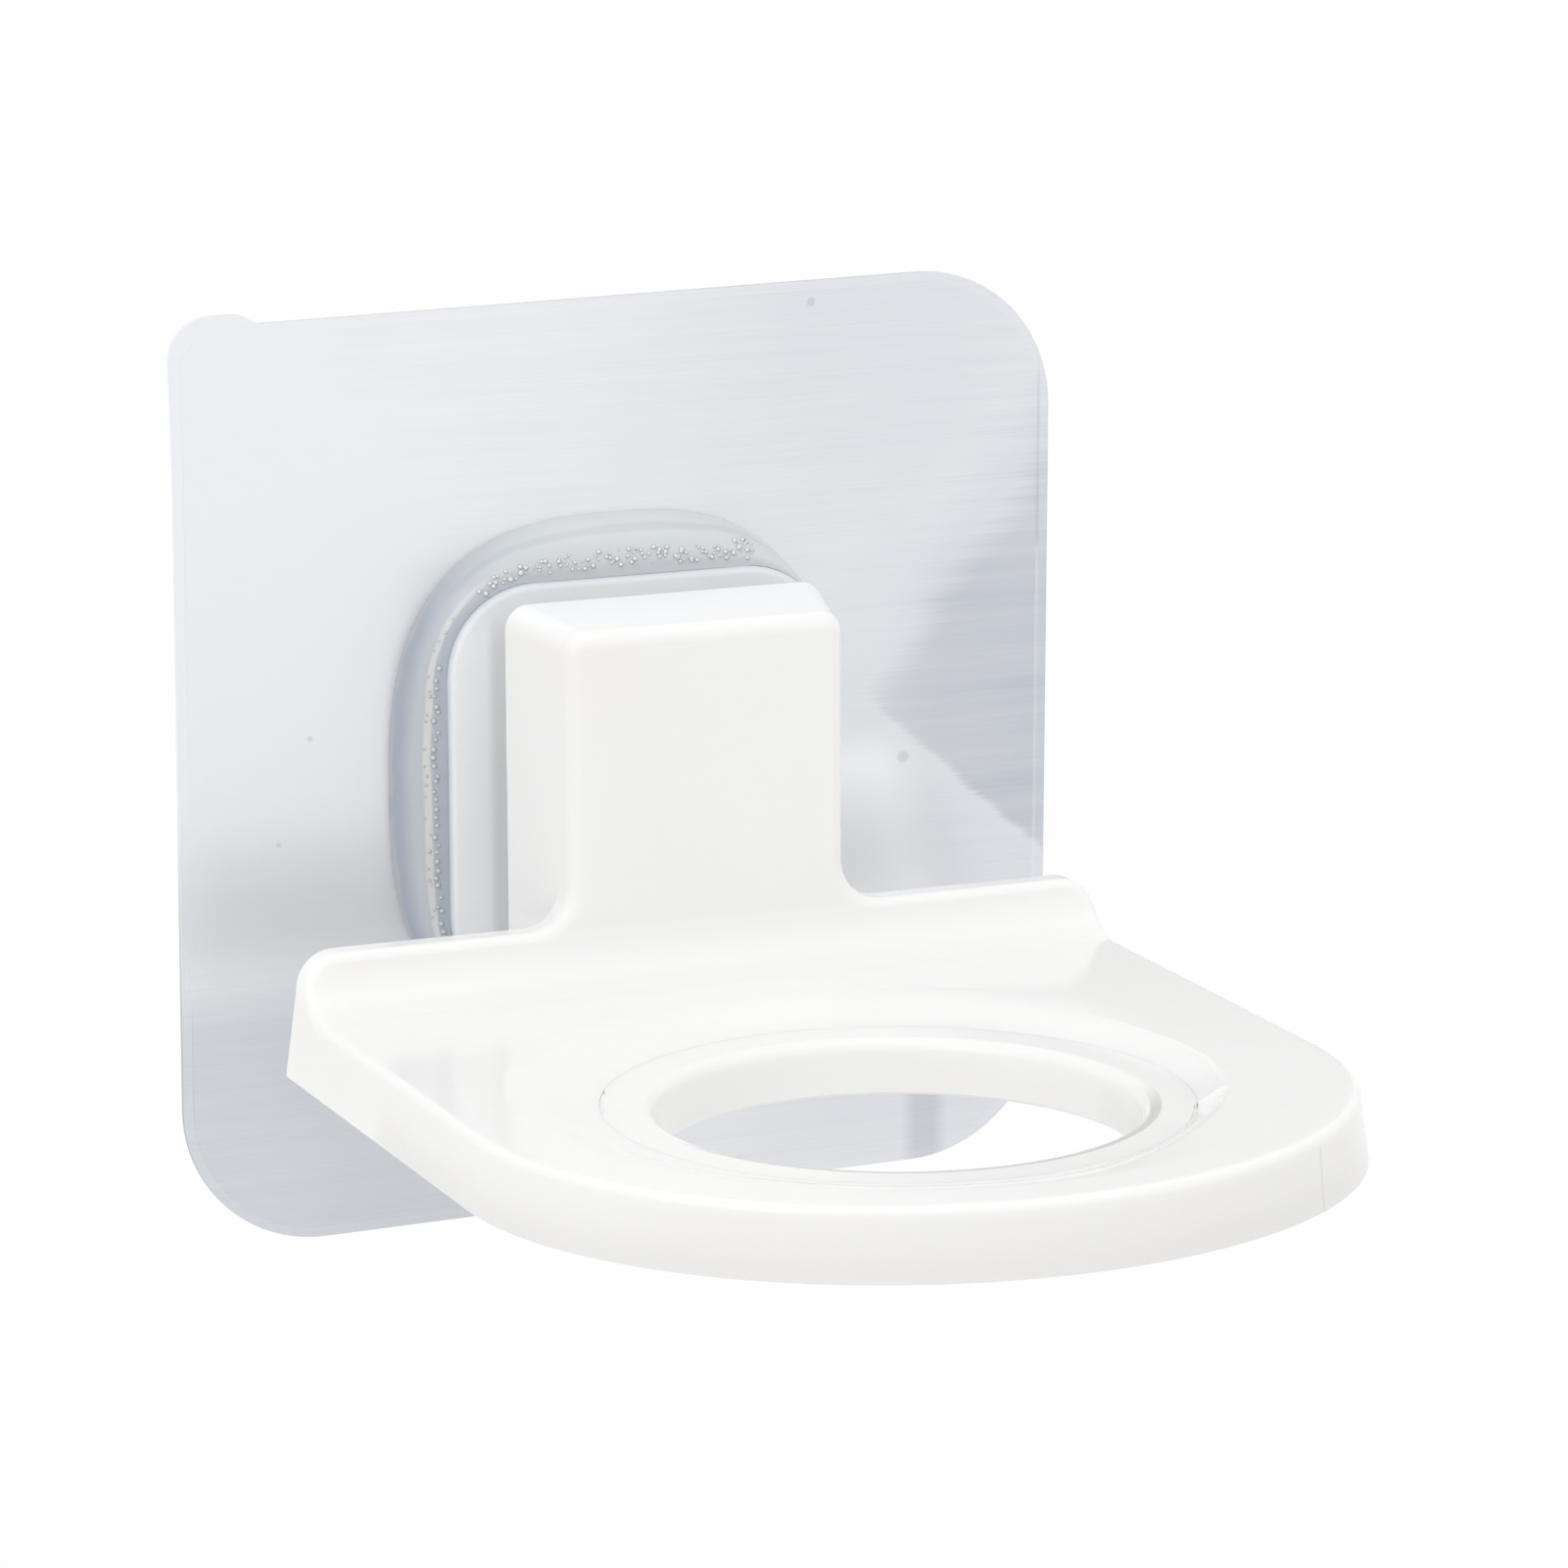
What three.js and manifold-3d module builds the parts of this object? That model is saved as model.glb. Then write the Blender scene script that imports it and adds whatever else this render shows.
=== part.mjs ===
// Shower bottle holder: a self-adhesive wall pad with a clear T-rail, a white bracket that hangs
// on the rail, and a loose reducer ring that lies in the bracket's bottle hole.
// Millimetres, +Z up, +Y into the wall. The origin is the middle of the pad's back face.
import * as THREE from 'three';
import { mergeVertices } from 'three/addons/utils/BufferGeometryUtils.js';
import Module from 'manifold-3d';

const wasm = await Module();
wasm.setup();

// Wall pad: three bonded sheets, cut a little out of square
const PAD_WIDTH = 70;
const PAD_HEIGHT = 69.4;
const PAD_CORNER = 11;
const PAD_LEAN = 0.0073;
const PAD_SLOPE = 0.013;
const EAR_RISE = 0.8;
const EAR_SIDE = 0.2;
const EAR_LENGTH = 6;
const EAR_CORNER = 3.1;
const ADHESIVE = 0.5;
const CARRIER = 0.25;
const BRUSHED = 0.25;
const BRUSHED_MARGIN = 0.75;
const PAD_FRONT = -(ADHESIVE + CARRIER + BRUSHED);

// Clear rail plate on the pad, and the resin bead that bonds its edge
const BOSS_CENTRE_Z = -1.5;
const BEAD_CENTRE_X = -0.4;
const PLATE_HALF_WIDTH = 15.3;
const PLATE_HALF_HEIGHT = 15.8;
const PLATE_CORNER = 6.8;
const PLATE_FACE = -5.2;
const BEAD_HALF_WIDTH = 18.3;
const BEAD_HALF_HEIGHT = 20;
const BEAD_POWER = 2.75;
const BEAD_FACE = -4.6;
const BEAD_TOP_INSET = 2.9;
const BOND_GAP = 0.3;

// T-rail, and the running clearance of the slot around it
const RAIL_TOP = 11;
const RAIL_BOTTOM = -14;
const STEM_HALF_WIDTH = 5.2;
const HEAD_HALF_WIDTH = 8.6;
const HEAD_BACK = -12.1;
const HEAD_FRONT = -15.6;
const RUNNING_GAP = 0.3;

// Bracket: the column that takes the rail
const WALL = 2;
const COLUMN_BACK = -9.8;
const COLUMN_FRONT = -18.2;
const COLUMN_HALF_WIDTH = 12.6;
const COLUMN_SIDE_DRAFT = 1.7;
const COLUMN_TOP = 13.8;
const COLUMN_TOP_DRAFT = 0.75;
const COLUMN_CORNER = 1.8;
const COLUMN_EDGE = 0.9;

// Bracket: the shelf with its upstand
const SHELF_TOP = -13;
const SHELF_BOTTOM = -18;
const SHELF_HALF_WIDTH = 32.2;
const SHELF_DRAFT = 0.7;
const SHELF_EDGE = 1;
const SHELF_BACK = -16.2;
const NOSE_CENTRE = -54.1;
const NOSE_DEPTH = 29.8;
const UPSTAND_TOP = -8.85;
const UPSTAND_CORNER = 2.8;
const UPSTAND_EDGE = 0.5;
const NECK_FILLET = 3;
const SWEEP = 3.3;
const SHELF_RIB_X = 8;
const SHELF_RIB_WIDTH = 1.6;

// Bottle hole, the seat around it and the reducer ring
const HOLE_Y = -52.6;
const RING_INNER = 16.85;
const RING_OUTER = 20.6;
const RING_TOP = -14.3;
const RING_BOTTOM = -18.3;
const RING_TAPER = 0.3;
const RING_EDGE = 0.5;
const SEAT_RADIUS = RING_OUTER + RUNNING_GAP;
const SEAT_BEVEL_FOOT = -14.1;
const RECESS_RADIUS = 22.7;
const LEDGE_TOP = -16.6;
const LEDGE_RADIUS = 18.9;
const HUB_RADIUS = SEAT_RADIUS + WALL;
const NOTCH_INNER = 20;
const NOTCH_FLOOR = -15.6;
const NOTCH_ANGLES = [-35, 145];
const NOTCH_SPAN = 18;

// How finely round stretches are divided
const CORNER_SEGMENTS = 6;
const NOSE_SEGMENTS = 40;
const ROUND_SEGMENTS = 64;
const CUT_PAST = 1;

const degrees = THREE.MathUtils.degToRad;

// A closed geometry as a solid for joining and cutting
function toSolid(geometry) {
  const bare = geometry.clone();
  bare.deleteAttribute('normal');
  bare.deleteAttribute('uv');
  const merged = mergeVertices(bare, 1e-5);
  return new wasm.Manifold(new wasm.Mesh({
    numProp: 3,
    vertProperties: Float32Array.from(merged.attributes.position.array),
    triVerts: Uint32Array.from(merged.index.array),
  }));
}

// A solid back as a flat-shaded geometry
function toGeometry(solid) {
  const mesh = solid.getMesh();
  const geometry = new THREE.BufferGeometry();
  geometry.setAttribute('position', new THREE.BufferAttribute(Float32Array.from(mesh.vertProperties), 3));
  geometry.setIndex(Array.from(mesh.triVerts));
  const flat = geometry.toNonIndexed();
  flat.computeVertexNormals();
  return flat;
}

function extruded(shape, depth, steps, curveSegments) {
  return new THREE.ExtrudeGeometry(shape, { depth, steps, curveSegments, bevelEnabled: false });
}

// A flat outline pulled straight up, from one height to another
function prism(shape, bottom, top) {
  return extruded(shape, top - bottom, 1, CORNER_SEGMENTS).translate(0, 0, bottom);
}

// An outline drawn in X and Z, pulled out of the wall from one Y to a more negative one
function wallPrism(shape, back, front) {
  return extruded(shape, back - front, 1, CORNER_SEGMENTS).rotateX(Math.PI / 2).translate(0, back, 0);
}

// An outline carried through several levels: place(x, y, level) gives each corner its spot in space
function drawn(shape, levels, place, curveSegments = CORNER_SEGMENTS) {
  const steps = levels.length - 1;
  const geometry = extruded(shape, steps, steps, curveSegments);
  const position = geometry.attributes.position;
  for (let i = 0; i < position.count; i += 1) {
    const level = levels[Math.round(position.getZ(i))];
    const spot = place(position.getX(i), position.getY(i), level);
    position.setXYZ(i, ...spot);
  }
  return geometry;
}

function box(low, high) {
  const size = high.map((value, axis) => value - low[axis]);
  const middle = high.map((value, axis) => (value + low[axis]) / 2);
  return new THREE.BoxGeometry(...size).translate(...middle);
}

function cylinder(radius, bottom, top) {
  const geometry = new THREE.CylinderGeometry(radius, radius, top - bottom, ROUND_SEGMENTS);
  return geometry.rotateX(Math.PI / 2).translate(0, HOLE_Y, (top + bottom) / 2);
}

// A profile of radius and height turned around the bottle hole's axis
function turned(profile) {
  const points = profile.map(([radius, height]) => new THREE.Vector2(radius, height));
  return new THREE.LatheGeometry(points, ROUND_SEGMENTS).rotateX(Math.PI / 2).translate(0, HOLE_Y, 0);
}

// A rectangle with round corners, centred on a point
function roundedRectangle(halfWidth, halfHeight, radius, centreY = 0) {
  const shape = new THREE.Shape();
  const x = halfWidth - radius;
  const y = halfHeight - radius;
  shape.absarc(x, centreY + y, radius, 0, Math.PI / 2);
  shape.absarc(-x, centreY + y, radius, Math.PI / 2, Math.PI);
  shape.absarc(-x, centreY - y, radius, Math.PI, Math.PI * 1.5);
  shape.absarc(x, centreY - y, radius, Math.PI * 1.5, Math.PI * 2);
  return shape;
}

// The pad's outline, with the peel ear in place of its upper left corner
function padOutline(margin) {
  const right = PAD_WIDTH / 2 - margin;
  const top = PAD_HEIGHT / 2 - margin;
  const radius = PAD_CORNER - margin;
  const earLeft = -right - EAR_SIDE;
  const earTop = top + EAR_RISE;
  const earEnd = -right + EAR_LENGTH;
  const shape = new THREE.Shape();
  shape.absarc(right - radius, top - radius, radius, 0, Math.PI / 2);
  shape.lineTo(earEnd + EAR_RISE, top);
  shape.bezierCurveTo(earEnd, top, earEnd, earTop, earEnd - EAR_RISE * 2, earTop);
  shape.absarc(earLeft + EAR_CORNER, earTop - EAR_CORNER, EAR_CORNER, Math.PI / 2, Math.PI);
  shape.lineTo(-right, top - PAD_CORNER);
  shape.absarc(-right + radius, -top + radius, radius, Math.PI, Math.PI * 1.5);
  shape.absarc(right - radius, -top + radius, radius, Math.PI * 1.5, Math.PI * 2);
  return shape;
}

// One sheet of the pad, from one Y to a more negative one
function padSheet(margin, back, front) {
  return drawn(padOutline(margin), [back, front], (x, z, y) => [x + PAD_LEAN * z, y, z + PAD_SLOPE * x]);
}

// The bead's bulged foot: a superellipse
function beadOutline() {
  const points = [];
  for (let i = 0; i < ROUND_SEGMENTS; i += 1) {
    const angle = (i / ROUND_SEGMENTS) * Math.PI * 2;
    const along = (value) => Math.sign(value) * Math.abs(value) ** (2 / BEAD_POWER);
    points.push(new THREE.Vector2(
      BEAD_HALF_WIDTH * along(Math.cos(angle)), BEAD_HALF_HEIGHT * along(Math.sin(angle))));
  }
  return new THREE.Shape(points);
}

function resinBead() {
  const depth = PAD_FRONT - BEAD_FACE;
  const levels = [0, 30, 60, 90].map((angle) => ({
    y: PAD_FRONT - depth * Math.sin(degrees(angle)),
    inset: BEAD_TOP_INSET * (1 - Math.cos(degrees(angle))),
  }));
  const bulge = drawn(beadOutline(), levels, (x, z, { y, inset }) => [
    BEAD_CENTRE_X + x * (1 - inset / BEAD_HALF_WIDTH),
    y,
    BOSS_CENTRE_Z + z * (1 - inset / BEAD_HALF_HEIGHT),
  ]);
  const opening = roundedRectangle(
    PLATE_HALF_WIDTH + BOND_GAP, PLATE_HALF_HEIGHT + BOND_GAP, PLATE_CORNER + BOND_GAP, BOSS_CENTRE_Z);
  return toGeometry(toSolid(bulge).subtract(toSolid(wallPrism(opening, CUT_PAST, PLATE_FACE))));
}

// The rail's T section, or the slot's when a clearance is given
function railSection(clearance, back) {
  const stem = STEM_HALF_WIDTH + clearance;
  const head = HEAD_HALF_WIDTH + clearance;
  const headBack = HEAD_BACK + clearance;
  const headFront = HEAD_FRONT - clearance;
  const shape = new THREE.Shape();
  shape.moveTo(-stem, back);
  shape.lineTo(-stem, headBack);
  shape.lineTo(-head, headBack);
  shape.lineTo(-head, headFront);
  shape.lineTo(head, headFront);
  shape.lineTo(head, headBack);
  shape.lineTo(stem, headBack);
  shape.lineTo(stem, back);
  return shape;
}

function railPlate() {
  const outline = roundedRectangle(PLATE_HALF_WIDTH, PLATE_HALF_HEIGHT, PLATE_CORNER, BOSS_CENTRE_Z);
  const plate = toSolid(wallPrism(outline, PAD_FRONT, PLATE_FACE));
  const rail = toSolid(prism(railSection(0, PLATE_FACE + CUT_PAST), RAIL_BOTTOM, RAIL_TOP));
  return toGeometry(plate.add(rail));
}

// Half width of the shelf's drafted side at a height
function sideAt(height) {
  const rise = (height - SHELF_BOTTOM) / (SHELF_TOP - SHELF_BOTTOM);
  return SHELF_HALF_WIDTH - SHELF_DRAFT * rise;
}

// The shelf in plan: straight sides from the back, then an elliptical nose
function shelfOutline() {
  const shape = new THREE.Shape();
  shape.moveTo(SHELF_HALF_WIDTH, SHELF_BACK);
  shape.lineTo(-SHELF_HALF_WIDTH, SHELF_BACK);
  shape.lineTo(-SHELF_HALF_WIDTH, NOSE_CENTRE);
  shape.absellipse(0, NOSE_CENTRE, SHELF_HALF_WIDTH, NOSE_DEPTH, Math.PI, Math.PI * 2);
  return shape;
}

// A corner of the shelf's outline, moved in from the sides and the nose
function shelfSpot(x, y, { z, inset }) {
  const across = x * (1 - inset / SHELF_HALF_WIDTH);
  const along = y < NOSE_CENTRE ? NOSE_CENTRE + (y - NOSE_CENTRE) * (1 - inset / NOSE_DEPTH) : y;
  return [across, along, z];
}

function shelfBlock() {
  const edgeFoot = SHELF_TOP - SHELF_EDGE;
  const rounding = [0, 30, 60, 90].map((angle) => {
    const z = edgeFoot + SHELF_EDGE * Math.sin(degrees(angle));
    return { z, inset: SHELF_HALF_WIDTH - sideAt(z) + SHELF_EDGE * (1 - Math.cos(degrees(angle))) };
  });
  const levels = [{ z: SHELF_BOTTOM, inset: 0 }, ...rounding];
  return toSolid(drawn(shelfOutline(), levels, shelfSpot, NOSE_SEGMENTS));
}

// The open underside: inside the skirt wall, round the hub and between the two ribs
function shelfHollow() {
  const ceiling = SHELF_TOP - WALL;
  const heights = [SHELF_BOTTOM - CUT_PAST, ceiling];
  const levels = heights.map((z) => ({ z, inset: SHELF_HALF_WIDTH - sideAt(z) + WALL }));
  const inside = toSolid(drawn(shelfOutline(), levels, shelfSpot, NOSE_SEGMENTS));
  const backWall = box(
    [-SHELF_HALF_WIDTH, COLUMN_FRONT, SHELF_BOTTOM - WALL], [SHELF_HALF_WIDTH, 0, SHELF_TOP]);
  const hub = toSolid(cylinder(HUB_RADIUS, SHELF_BOTTOM - WALL, SHELF_TOP));
  let hollow = inside.subtract(toSolid(backWall)).subtract(hub);
  for (const side of [-1, 1]) {
    const middle = side * SHELF_RIB_X;
    const rib = box(
      [middle - SHELF_RIB_WIDTH / 2, HOLE_Y, SHELF_BOTTOM - WALL],
      [middle + SHELF_RIB_WIDTH / 2, COLUMN_FRONT + CUT_PAST, SHELF_TOP]);
    hollow = hollow.subtract(toSolid(rib));
  }
  return hollow;
}

// The upstand seen from the front: drafted ends, round upper corners, filleted into the column
function upstandOutline() {
  const neck = COLUMN_HALF_WIDTH - COLUMN_SIDE_DRAFT;
  const foot = SHELF_TOP - WALL;
  const cornerX = sideAt(UPSTAND_TOP) - UPSTAND_CORNER;
  const cornerZ = UPSTAND_TOP - UPSTAND_CORNER;
  const filletX = neck + NECK_FILLET;
  const filletZ = UPSTAND_TOP + NECK_FILLET;
  const shape = new THREE.Shape();
  shape.moveTo(-sideAt(foot), foot);
  shape.lineTo(sideAt(foot), foot);
  shape.absarc(cornerX, cornerZ, UPSTAND_CORNER, 0, Math.PI / 2);
  shape.absarc(filletX, filletZ, NECK_FILLET, Math.PI * 1.5, Math.PI, true);
  shape.absarc(-filletX, filletZ, NECK_FILLET, 0, -Math.PI / 2, true);
  shape.absarc(-cornerX, cornerZ, UPSTAND_CORNER, Math.PI / 2, Math.PI);
  return shape;
}

// The upstand with the hollow sweep that runs from its front face down to the shelf
function upstandBlock() {
  const reach = COLUMN_FRONT - SWEEP;
  const profile = new THREE.Shape();
  profile.moveTo(SHELF_BACK, SHELF_TOP - WALL);
  profile.lineTo(SHELF_BACK, UPSTAND_TOP);
  profile.lineTo(COLUMN_FRONT + UPSTAND_EDGE, UPSTAND_TOP);
  profile.lineTo(COLUMN_FRONT, UPSTAND_TOP - UPSTAND_EDGE);
  profile.absarc(reach, SHELF_TOP + SWEEP, SWEEP, 0, -Math.PI / 2, true);
  profile.lineTo(reach, SHELF_TOP - WALL);
  const bar = extruded(profile, SHELF_HALF_WIDTH * 2, 1, CORNER_SEGMENTS);
  bar.rotateX(Math.PI / 2).rotateZ(Math.PI / 2).translate(-SHELF_HALF_WIDTH, 0, 0);
  const ends = toSolid(wallPrism(upstandOutline(), SHELF_BACK + CUT_PAST, reach - CUT_PAST));
  const fillets = toSolid(wallPrism(upstandOutline(), SHELF_BACK, COLUMN_FRONT + UPSTAND_EDGE));
  const above = toSolid(box(
    [-COLUMN_HALF_WIDTH - NECK_FILLET, COLUMN_FRONT, UPSTAND_TOP - UPSTAND_EDGE],
    [COLUMN_HALF_WIDTH + NECK_FILLET, SHELF_BACK, COLUMN_TOP]));
  return toSolid(bar).intersect(ends).add(fillets.intersect(above));
}

function columnOutline() {
  const x = COLUMN_HALF_WIDTH - COLUMN_CORNER;
  const z = COLUMN_TOP - COLUMN_CORNER;
  const shape = new THREE.Shape();
  shape.moveTo(-COLUMN_HALF_WIDTH, SHELF_BOTTOM);
  shape.lineTo(COLUMN_HALF_WIDTH, SHELF_BOTTOM);
  shape.absarc(x, z, COLUMN_CORNER, 0, Math.PI / 2);
  shape.absarc(-x, z, COLUMN_CORNER, Math.PI / 2, Math.PI);
  return shape;
}

// The column: drafted towards the front on its sides and top, with a round front edge
function columnBlock() {
  const depth = COLUMN_BACK - COLUMN_FRONT;
  const height = COLUMN_TOP - SHELF_BOTTOM;
  const edge = [0, 30, 60, 90].map((angle) => ({
    y: COLUMN_FRONT + COLUMN_EDGE * (1 - Math.sin(degrees(angle))),
    round: COLUMN_EDGE * (1 - Math.cos(degrees(angle))),
  }));
  const levels = [{ y: COLUMN_BACK, round: 0 }, ...edge];
  return toSolid(drawn(columnOutline(), levels, (x, z, { y, round }) => {
    const share = (COLUMN_BACK - y) / depth;
    const across = 1 - (COLUMN_SIDE_DRAFT * share + round) / COLUMN_HALF_WIDTH;
    const up = 1 - (COLUMN_TOP_DRAFT * share + round) / height;
    return [x * across, y, SHELF_BOTTOM + (z - SHELF_BOTTOM) * up];
  }));
}

// The slot that the rail runs in: open below, closed above where the bracket hangs on the rail
function railSlot() {
  const section = railSection(RUNNING_GAP, COLUMN_BACK + CUT_PAST);
  return toSolid(prism(section, SHELF_BOTTOM - CUT_PAST, RAIL_TOP));
}

// A piece of a ring around the bottle hole
function sector(inner, outer, middle, span, bottom, top) {
  const from = degrees(middle - span / 2);
  const to = degrees(middle + span / 2);
  const shape = new THREE.Shape();
  shape.absarc(0, 0, outer, from, to);
  shape.absarc(0, 0, inner, to, from, true);
  return prism(shape, bottom, top).translate(0, HOLE_Y, 0);
}

// The bottle hole with the ring's seat: ledge, bore and bevel
function seatCut() {
  const below = SHELF_BOTTOM - CUT_PAST;
  const slope = (RECESS_RADIUS - SEAT_RADIUS) / (SHELF_TOP - SEAT_BEVEL_FOOT);
  return toSolid(turned([
    [0, below],
    [LEDGE_RADIUS, below],
    [LEDGE_RADIUS, LEDGE_TOP],
    [SEAT_RADIUS, LEDGE_TOP],
    [SEAT_RADIUS, SEAT_BEVEL_FOOT],
    [RECESS_RADIUS + slope * CUT_PAST, SHELF_TOP + CUT_PAST],
    [0, SHELF_TOP + CUT_PAST],
  ]));
}

// The pry notches, half in the seat and half in the ring's edge
function pryNotches() {
  const cuts = NOTCH_ANGLES.map((angle) => toSolid(
    sector(NOTCH_INNER, RECESS_RADIUS, angle, NOTCH_SPAN, NOTCH_FLOOR, SHELF_TOP + CUT_PAST)));
  return cuts.reduce((all, cut) => all.add(cut));
}

function bracket() {
  const blocks = shelfBlock().subtract(shelfHollow()).add(upstandBlock()).add(columnBlock());
  return toGeometry(blocks.subtract(seatCut()).subtract(railSlot()).subtract(pryNotches()));
}

function reducerRing() {
  const sleeve = LEDGE_RADIUS - RUNNING_GAP;
  const body = toSolid(turned([
    [RING_INNER - RING_TAPER, RING_BOTTOM],
    [sleeve, RING_BOTTOM],
    [sleeve, LEDGE_TOP],
    [RING_OUTER, LEDGE_TOP],
    [RING_OUTER, RING_TOP],
    [RING_INNER + RING_EDGE, RING_TOP],
    [RING_INNER, RING_TOP - RING_EDGE],
    [RING_INNER - RING_TAPER, RING_BOTTOM],
  ]));
  return toGeometry(body.subtract(pryNotches()));
}

const clearResin = { color: 0xdfe8ee, roughness: 0.08, metalness: 0 };
const whitePlastic = { color: 0xf3f2f0, roughness: 0.22, metalness: 0 };

function part(name, geometry, finish) {
  const mesh = new THREE.Mesh(geometry, new THREE.MeshStandardMaterial(finish));
  mesh.name = name;
  return mesh;
}

const holder = new THREE.Group();
holder.add(
  part('adhesive_layer', padSheet(BRUSHED_MARGIN, 0, -ADHESIVE), clearResin),
  part('carrier_film', padSheet(0, -ADHESIVE, -ADHESIVE - CARRIER), clearResin),
  part('brushed_film', padSheet(BRUSHED_MARGIN, -ADHESIVE - CARRIER, PAD_FRONT),
    { color: 0xdde2e7, roughness: 0.35, metalness: 0.8 }),
  part('resin_bead', resinBead(), clearResin),
  part('rail_plate', railPlate(), clearResin),
  part('bracket', bracket(), whitePlastic),
  part('reducer_ring', reducerRing(), whitePlastic),
);

export default holder;
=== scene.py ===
import math

import bmesh
import bpy
import numpy as np
from mathutils import Matrix, Vector


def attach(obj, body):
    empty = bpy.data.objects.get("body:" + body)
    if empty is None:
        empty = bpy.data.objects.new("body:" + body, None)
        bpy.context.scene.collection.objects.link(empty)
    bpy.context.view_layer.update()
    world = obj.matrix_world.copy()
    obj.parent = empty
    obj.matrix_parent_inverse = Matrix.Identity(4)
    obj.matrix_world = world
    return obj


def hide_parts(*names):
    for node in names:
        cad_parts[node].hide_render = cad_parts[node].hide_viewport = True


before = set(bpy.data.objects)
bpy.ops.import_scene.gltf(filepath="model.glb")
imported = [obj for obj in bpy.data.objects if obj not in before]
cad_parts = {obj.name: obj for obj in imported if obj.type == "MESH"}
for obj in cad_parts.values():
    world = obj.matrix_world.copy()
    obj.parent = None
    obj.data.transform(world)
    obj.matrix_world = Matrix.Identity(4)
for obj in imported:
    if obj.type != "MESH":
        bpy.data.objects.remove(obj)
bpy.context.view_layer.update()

MM = 0.001

# Making of the meshes: distances in metres, and the lead of large faces in the shading
MERGE_DISTANCE, NIL_LENGTH = 2e-6, 1e-7
FLAT_WEIGHT = 100

# Pad sheets, in millimetres
PAD_HALF_WIDTH, PAD_HALF_HEIGHT, PAD_CORNER = 35.0, 34.7, 11.0
PAD_LEAN, PAD_SLOPE = 0.0073, 0.013
EAR_RISE, EAR_SIDE, EAR_LENGTH, EAR_CORNER = 0.8, 0.2, 6.0, 3.1
PAD_BACK, ADHESIVE_FRONT, CARRIER_FRONT, PAD_FRONT = 0.0, -0.5, -0.97, -1.0
CARRIER_MARGIN, SILVER_MARGIN = 0.0, 0.75
ADHESIVE_EDGE, CARRIER_EDGE, SILVER_EDGE, EDGE_HALFWAY = 0.1, 0.04, 0.01, 0.3
PAD_CORNER_STEPS, EAR_CORNER_STEPS, EAR_STEPS = 20, 12, 9

# Clear rail plate and the resin bead round it
BOSS_X, BOSS_Z = -0.4, -1.5
PLATE_HALF_WIDTH, PLATE_HALF_HEIGHT, PLATE_CORNER, PLATE_FACE = 15.3, 15.8, 6.8, -5.2
PLATE_EDGE, PLATE_EDGE_STEPS, PLATE_CORNER_STEPS = 0.5, 6, 14
BEAD_HALF_WIDTH, BEAD_RIGHT, BEAD_HALF_HEIGHT, BEAD_POWER, BEAD_FACE = 18.3, 16.8, 20.0, 2.75, -4.6
BEAD_PULL, BEAD_GAP, BEAD_STEP, BEAD_ROWS = 0.92, 0.02, 2.0, 15
FILM_GAP = 0.005
RAIL_TOP, RAIL_BOTTOM, RAIL_ROOT = 11.0, -14.0, 0.4
STEM_HALF, HEAD_HALF, HEAD_BACK, HEAD_FRONT = 5.2, 8.6, -12.1, -15.6
RUNNING_GAP = 0.3

# Bracket
WALL, DRAFT = 2.0, 0.14
SHELF_TOP, SHELF_BOTTOM, SHELF_BACK = -13.0, -18.0, -16.2
SHELF_DEPTH = SHELF_TOP - SHELF_BOTTOM
CEILING = SHELF_TOP - WALL
SIDE_X = 31.5
NOSE_Y, NOSE_DEPTH = -54.1, 29.1
FRONT_Y, SWEEP = -18.2, 3.3
SWEEP_LENGTH = SWEEP * math.pi / 2
SWEEP_Y = FRONT_Y - SWEEP
UPSTAND_TOP, UPSTAND_CORNER, NECK_FILLET = -8.85, 2.8, 3.0
COLUMN_BACK, COLUMN_FRONT_HALF, COLUMN_BACK_HALF = -9.8, 10.9, 12.6
COLUMN_FRONT_TOP, COLUMN_BACK_TOP = 13.05, 13.8
COLUMN_FRONT_CORNER, COLUMN_BACK_CORNER = 1.5, 1.8
JOIN_Y = -26.0
SHELF_EDGE, UPSTAND_EDGE, COLUMN_EDGE = 0.6, 0.7, 1.3
LEAST_STEEP, FLANK_SHARE = 0.2, 0.6
RIB_X, RIB_HALF, RIB_NEAR, RIB_SUNK, RIB_FOOT, RIB_HEAD = 8.0, 0.8, 21.6, 0.5, 0.1, 0.4

# Numbers of points along the bracket's edge, and of rows in its grids
NOSE_STEPS, SIDE_STEPS, JOIN_STEPS, BELOW_STEPS, BEHIND_STEPS = 97, 32, 5, 7, 8
UPSTAND_CORNER_STEPS, UPSTAND_STEPS, FILLET_STEPS = 14, 9, 12
COLUMN_STEPS, COLUMN_CORNER_STEPS, COLUMN_TOP_STEPS = 9, 10, 6
EDGE_STEPS, ACROSS_STEPS, SHELF_RINGS, CEILING_RINGS, WING_STEPS, MIDDLE_STEPS = 9, 89, 7, 4, 10, 12

# Bottle hole, seat and ring. The shallow dish round the seat is soft on the left, crisp on the right and cut
# at a notch, as radius and height between the shelf's top and the seat
HOLE_Y = -52.6
RECESS_RADIUS, SEAT_RADIUS, LEDGE_RADIUS, HUB_RADIUS = 26.5, 20.625, 18.9, 22.9
BEVEL_FOOT, LEDGE_TOP = -14.3, -16.6
NOTCH_ANGLES, NOTCH_SPAN, NOTCH_FLOOR, NOTCH_INNER = (-33.0, 157.0), 15.0, -14.6, 20.3
NOTCH_RAMP, NOTCH_SLOPE, NOTCH_EDGE, FAINT_NOTCH = 2.4, 0.1, 0.03, 0.1
DISH_SOFT = ((25.3, -13.14), (24.1, -13.48), (22.9, -13.88), (21.7, -14.2))
DISH_CRISP = ((22.9, SHELF_TOP), (22.5, -13.06), (22.1, -13.27), (21.2, -13.9))
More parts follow.
